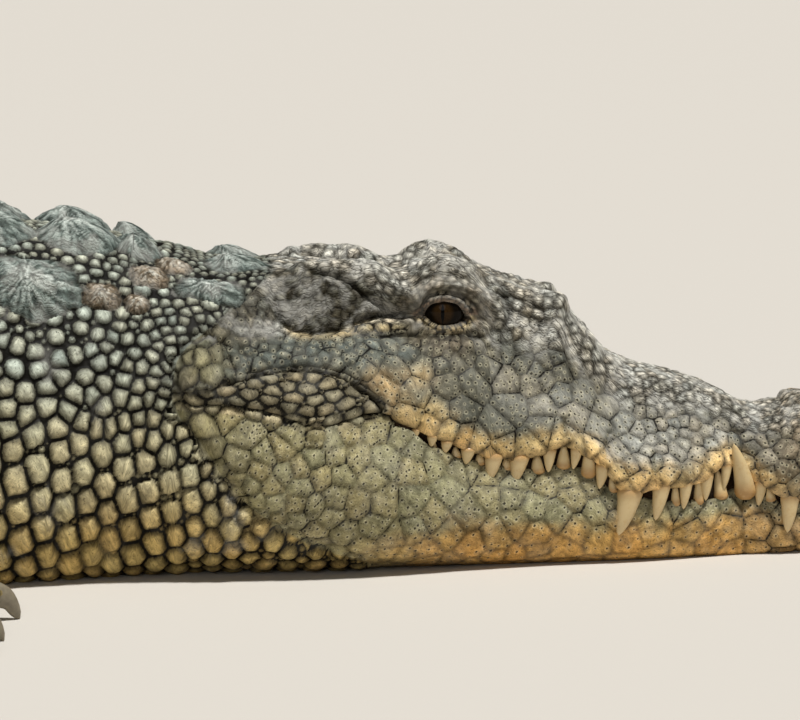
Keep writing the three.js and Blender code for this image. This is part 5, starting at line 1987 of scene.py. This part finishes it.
def add_front(front, hide, jaw_hide):
    """Six pieces: skull, jaw and neck, each with a right and a left half."""
    middle_row = UPPER_ROWS + MOUTH_ROWS // 2
    ring = np.arange(len(front.stations))[:, None] * 2 * SIDE_ROWS
    right = ring + np.arange(0, SIDE_ROWS + 1)
    left = ring + np.arange(SIDE_ROWS, 2 * SIDE_ROWS + 1) % (2 * SIDE_ROWS)
    head, neck = slice(0, front.head_last), slice(front.head_last - 1, None)
    low_left = SIDE_ROWS - middle_row
    for name, index, material, slot, node in (
        ("skull_skin_right", right[head, :middle_row + 1], hide, "hide", "head"),
        ("skull_skin_left", left[head, low_left:], hide, "hide", "head"),
        ("jaw_skin_right", right[head, middle_row:], jaw_hide, "jaw_hide", "lower_jaw"),
        ("jaw_skin_left", left[head, :low_left + 1], jaw_hide, "jaw_hide", "lower_jaw"),
        ("neck_skin_right", right[neck], hide, "hide", "neck"),
        ("neck_skin_left", left[neck], hide, "hide", "neck"),
    ):
        grid_piece(name, front.skin, index, material, [node])


# ---------------------------------------------------------------- skin of the trunk and legs
def finish_flesh(flesh, scales):
    """The relief and the colours of the trunk and legs."""
    skin = flesh.skin
    every = np.arange(len(skin.s))
    core, bead = lay_scales(skin, every, scales, PLATE_RELIEF, np.ones(len(every)))
    underneath = skin.z < 2.5
    bead |= underneath
    skin.edge[underneath] = 5
    paint_body(skin, every, bead, flesh.limb)
    shade_scales(skin, every, scales, core)
    uneven = WHORL_START + 22 * lumps(skin.places, 26, 33)
    rear = np.flatnonzero((skin.s > uneven) & (flesh.limb < 0.5))
    lay_tail_skin(skin, rear)
    lay_plates(skin, back_plates(), BACK_LOOK, BACK_HORN, 5)
    skin.settle()


def lay_tail_skin(skin, near):
    """Whorls of scales, each scale a little lighter or darker than the next."""
    tone = lay_whorls(skin, near)
    paint_body(skin, near, 0 * near)
    skin.tint[near] *= (1 + 0.15 * tone)[:, None]


def flesh_piece(name, flesh, wanted, material, replaced):
    """A piece of the trunk's and legs' skin: the faces that are wanted."""
    corners = flesh.faces[wanted]
    used, faces = np.unique(corners, return_inverse=True)
    faces = faces.reshape(corners.shape)[:, ::-1]
    places = flesh.skin.places[used]
    s, y, z = places.T
    turn = np.arctan2(np.abs(y), z - 0.45 * body_top(s)) / math.pi
    uv = np.stack([0.01 + 0.98 * (s - s.min()) / np.ptp(s), 0.01 + 0.98 * turn], axis=1)
    normals = normals_to_world(places, flesh.skin.normals[used])
    piece = new_piece(name, to_world(places), faces, material, replaced, normals, uv)
    add_skin_values(piece, flesh.skin, used, places)
    return piece


def unwrap(piece):
    """Unfolds a piece flat, in place of the UV places it has."""
    bpy.context.view_layer.objects.active = piece
    piece.select_set(True)
    bpy.ops.object.mode_set(mode="EDIT")
    bpy.ops.mesh.select_all(action="SELECT")
    bpy.ops.uv.smart_project(angle_limit=math.radians(66), island_margin=0.004)
    bpy.ops.object.mode_set(mode="OBJECT")
    piece.select_set(False)


def add_flesh(flesh, hide, back_hide):
    """Eight pieces: the front and rear of the trunk and the legs, on each side."""
    corner_places = flesh.skin.places[flesh.faces]
    middle = corner_places.mean(axis=1)
    on_limb = flesh.limb[flesh.faces].mean(axis=1) > 0.5
    kept = corner_places[..., 0].min(axis=1) >= NECK_END
    kept |= np.abs(middle[:, 1]) > BODY_REACH
    kept &= middle[:, 0] < TAIL_START + 8
    first = middle[:, 0] < TRUNK_MIDDLE
    for word, side in SIDES:
        here = kept & (middle[:, 1] * side >= 0)
        for end, half in (("front", first), ("rear", ~first)):
            name, wanted = f"trunk_skin_{end}_{word}", here & ~on_limb & half
            flesh_piece(name, flesh, wanted, back_hide, [f"trunk_{end}"])
        for leg, half, parts in (
            ("foreleg", first, ("upper_arm", "forearm", "forefoot")),
            ("hindleg", ~first, ("thigh", "shank", "hindfoot")),
        ):
            name, nodes = f"{leg}_skin_{word}", [f"{part}_{word}" for part in parts]
            unwrap(flesh_piece(name, flesh, here & on_limb & half, hide, nodes))


# ---------------------------------------------------------------- pieces of the tail
TAIL_CUTS = (TAIL_START, 2260, 2700, 3140, TOTAL_LENGTH)


def add_tail(number, start, end, material):
    """A stretch of the tail, and the keels on it."""
    stations = np.arange(start, end + 0.6 * TAIL_STEP, TAIL_STEP)
    rings = whole_rings(np.minimum(stations, TOTAL_LENGTH - 1), TAIL_ROWS)
    levels, sides = rings.shape[:2]

    def ring_normals(at):
        return grid_normals(at.reshape(levels, sides, 3)).reshape(-1, 3)

    skin = Skin(rings.reshape(-1, 3).copy(), ring_normals)
    lay_tail_skin(skin, np.arange(len(skin.s)))
    skin.rise -= 0.8 * smooth(-skin.s, -TAIL_START, -TAIL_START + 6)
    skin.settle()
    index = np.arange(levels)[:, None] * sides + np.append(np.arange(sides), 0)
    nodes = [f"tail_{number}"]
    grid_piece(f"tail_skin_{number}", skin, index, material, nodes)
    keels, tint = [], []
    for s, y in crest_places(start, end):
        places, quads, up = crest_keel(s, y)
        keels.append((places, facing_out(places, quads, places.mean(axis=0))))
        colour = mix(linear(*TAIL_OLIVE), linear(*HORN_GREY), smooth(up, 0.2, 0.9)[:, None] * 0.5)
        tint.append(colour * (1 + 0.3 * lumps(places, 9, 41))[:, None])
    places, faces = joined(keels)
    crest = Skin(places, lambda at: mesh_normals(at, faces[:, ::-1]))
    crest.tint = np.concatenate(tint)
    crest.crumple[:] = 0.3
    name, normals = f"tail_crest_{number}", normals_to_world(places, crest.normals)
    piece = new_piece(name, to_world(places), faces, material, nodes, normals)
    add_skin_values(piece, crest, np.arange(len(places)), places)
    unwrap(piece)


# ---------------------------------------------------------------- claws
CLAW_LEVELS, CLAW_SIDES = 16, 20
claw_fall = curve([(-0.2, 0), (0, 0), (0.55, 0.2), (1, 1)])
claw_breadth = curve([
    (-0.2, 0.86), (0, 0.84), (0.55, 0.66), (0.85, 0.4), (0.97, 0.16), (1, 0.03),
])


def add_claws(name, leg, side, nodes, material):
    """The claws of one foot: stout horns that start in the toes and bend to the ground."""
    claws = []
    turn = turns(CLAW_SIDES)
    for _, bend, end, _ in (toe for toe in leg["toes"] if toe[3]):
        heading = unit((np.array(end, float) - bend) * [1, side, 0])
        start = np.array([end[0], side * end[1], end[2] * 0.62])
        across = unit(np.cross(heading, [0, 0, 1.0]))
        rings = []
        for level in np.linspace(-0.2, 1, CLAW_LEVELS):
            fall = float(claw_fall(level))
            middle = start + heading * leg["claw_length"] * 0.62 * level
            middle = middle - [0, 0, start[2] * 0.98 * fall]
            up = np.cross(across, unit(heading - np.array([0, 0, 1.3 * fall])))
            size = leg["toe_radius"] * float(claw_breadth(level))
            rings.append(
                middle
                + 0.72 * size * np.cos(turn)[:, None] * across
                + size * np.sin(turn)[:, None] * up
            )
        places = np.concatenate(rings)
        places[:, 2] = np.maximum(places[:, 2], 0.3)
        quads = ring_quads(CLAW_LEVELS, CLAW_SIDES)
        claws.append((places, facing_out(places, quads, places.mean(axis=0))))
    places, quads = joined(claws)
    piece = new_piece(name, to_world(places), quads, material, nodes)
    add_value(piece.data, "lie", "FLOAT_VECTOR", places)


# ---------------------------------------------------------------- the animal, put together
front = Front()
nostril_spot = shape_head(front.skin)
scales = Scales()
lay_head(front, scales)
lay_beads(scales, TAIL_START)
clear_plates(scales)
flesh = Flesh()
lay_legs(flesh, scales)
on_neck = neck_share(front.skin.s, front.skin.z) > 0.5
beaded = np.flatnonzero(on_neck & (front.skin.s > BEAD_START - 40))
fill_beads(front.skin, scales, beaded[::3])
beaded = np.flatnonzero(behind_neck(flesh.skin.places) & (flesh.skin.z > 3))
fill_beads(flesh.skin, scales, beaded[::4])
scales.ready()
finish_front(front, scales, nostril_spot)
finish_flesh(flesh, scales)

hide, jaw_hide, back_hide = (hide_material(name) for name in ("hide", "jaw_hide", "back_hide"))
add_front(front, hide, jaw_hide)
add_flesh(flesh, hide, back_hide)
for number, (start, end) in enumerate(zip(TAIL_CUTS[:-1], TAIL_CUTS[1:]), 1):
    add_tail(number, start, end, back_hide)
horn = claw_material()
for word, side in SIDES:
    for limb, leg in (("fore", FORELEG), ("hind", HINDLEG)):
        nodes = [f"{limb}_claw_{word}_{n}" for n in (1, 2, 3)]
        add_claws(f"{limb}_claws_{word}", leg, side, nodes, horn)
ivory = tooth_material()
add_teeth("upper_teeth", UPPER_TEETH, upper_lip, 3, True, ivory)
add_teeth("lower_teeth", LOWER_TEETH, lower_lip, 9.5, False, ivory)
glassy = eye_material()
for word, side in SIDES:
    add_eye(f"eyeball_{word}", side, f"eye_{word}", glassy)


# ---------------------------------------------------------------- floor, lights and camera
FLOOR_COLOUR = (196, 190, 180)
FLOOR_REACH = 60.0
BACKDROP_COLOUR = (232, 229, 222)
SKY_COLOUR, SKY_STRENGTH = (226, 228, 230), 0.11


def add_floor():
    mesh = bpy.data.meshes.new("floor")
    far = FLOOR_REACH
    corners = [(-far, -far, 0), (far, -far, 0), (far, far, 0), (-far, far, 0)]
    mesh.from_pydata(corners, [], [(0, 1, 2, 3)])
    mesh.materials.append(Recipe("floor").finish(shade(*FLOOR_COLOUR), 0.9))
    floor = add_object("floor", mesh)


def add_sun(name, towards, softness, strength):
    """A wide even light from one side; softness is its size in the sky in degrees."""
    lamp = bpy.data.lights.new(name, "SUN")
    lamp.angle = math.radians(softness)
    lamp.energy = strength
    light = add_object(name, lamp)
    light.rotation_euler = Vector(towards).to_track_quat("Z", "Y").to_euler()


def add_world(colour, strength):
    """Faint light from all round, with a pale backdrop that only the camera sees."""
    world = bpy.data.worlds.new("studio")
    world.use_nodes = True
    tree = world.node_tree
    light = tree.nodes["Background"]
    wire(tree, light, {"Color": shade(*colour), "Strength": strength})
    backdrop = add_node(tree, "ShaderNodeBackground", {"Color": shade(*BACKDROP_COLOUR)})
    path = add_node(tree, "ShaderNodeLightPath").outputs
    rays = {0: path["Is Camera Ray"], 1: path["Is Transmission Ray"]}
    seen = add_node(tree, "ShaderNodeMath", rays, operation="MAXIMUM")
    shaders = {0: seen.outputs[0], 1: light.outputs[0], 2: backdrop.outputs[0]}
    blend = add_node(tree, "ShaderNodeMixShader", shaders)
    wire(tree, tree.nodes["World Output"], {"Surface": blend.outputs[0]})
    bpy.context.scene.world = world


CAMERA_PLACE = (TIP_X - 0.81235, -3.93937, 0.72869)
CAMERA_AIM = (TIP_X - 0.3983, 0.0, 0.172)
LENS = 204.48

add_floor()
add_world(SKY_COLOUR, SKY_STRENGTH)
add_sun("top_light", (0.35, -0.45, 1.6), 7, 4.3)
add_sun("front_light", (-0.3, -1.6, 0.7), 30, 0.45)
camera_data = bpy.data.cameras.new("camera")
camera_data.lens = LENS
camera_data.sensor_width = 36.0
camera = add_object("camera", camera_data)
camera.location = CAMERA_PLACE
camera.rotation_euler = (
    (Vector(CAMERA_AIM) - Vector(CAMERA_PLACE)).to_track_quat("-Z", "Y").to_euler()
)
bpy.context.scene.camera = camera
bpy.context.scene.view_settings.view_transform = "Standard"
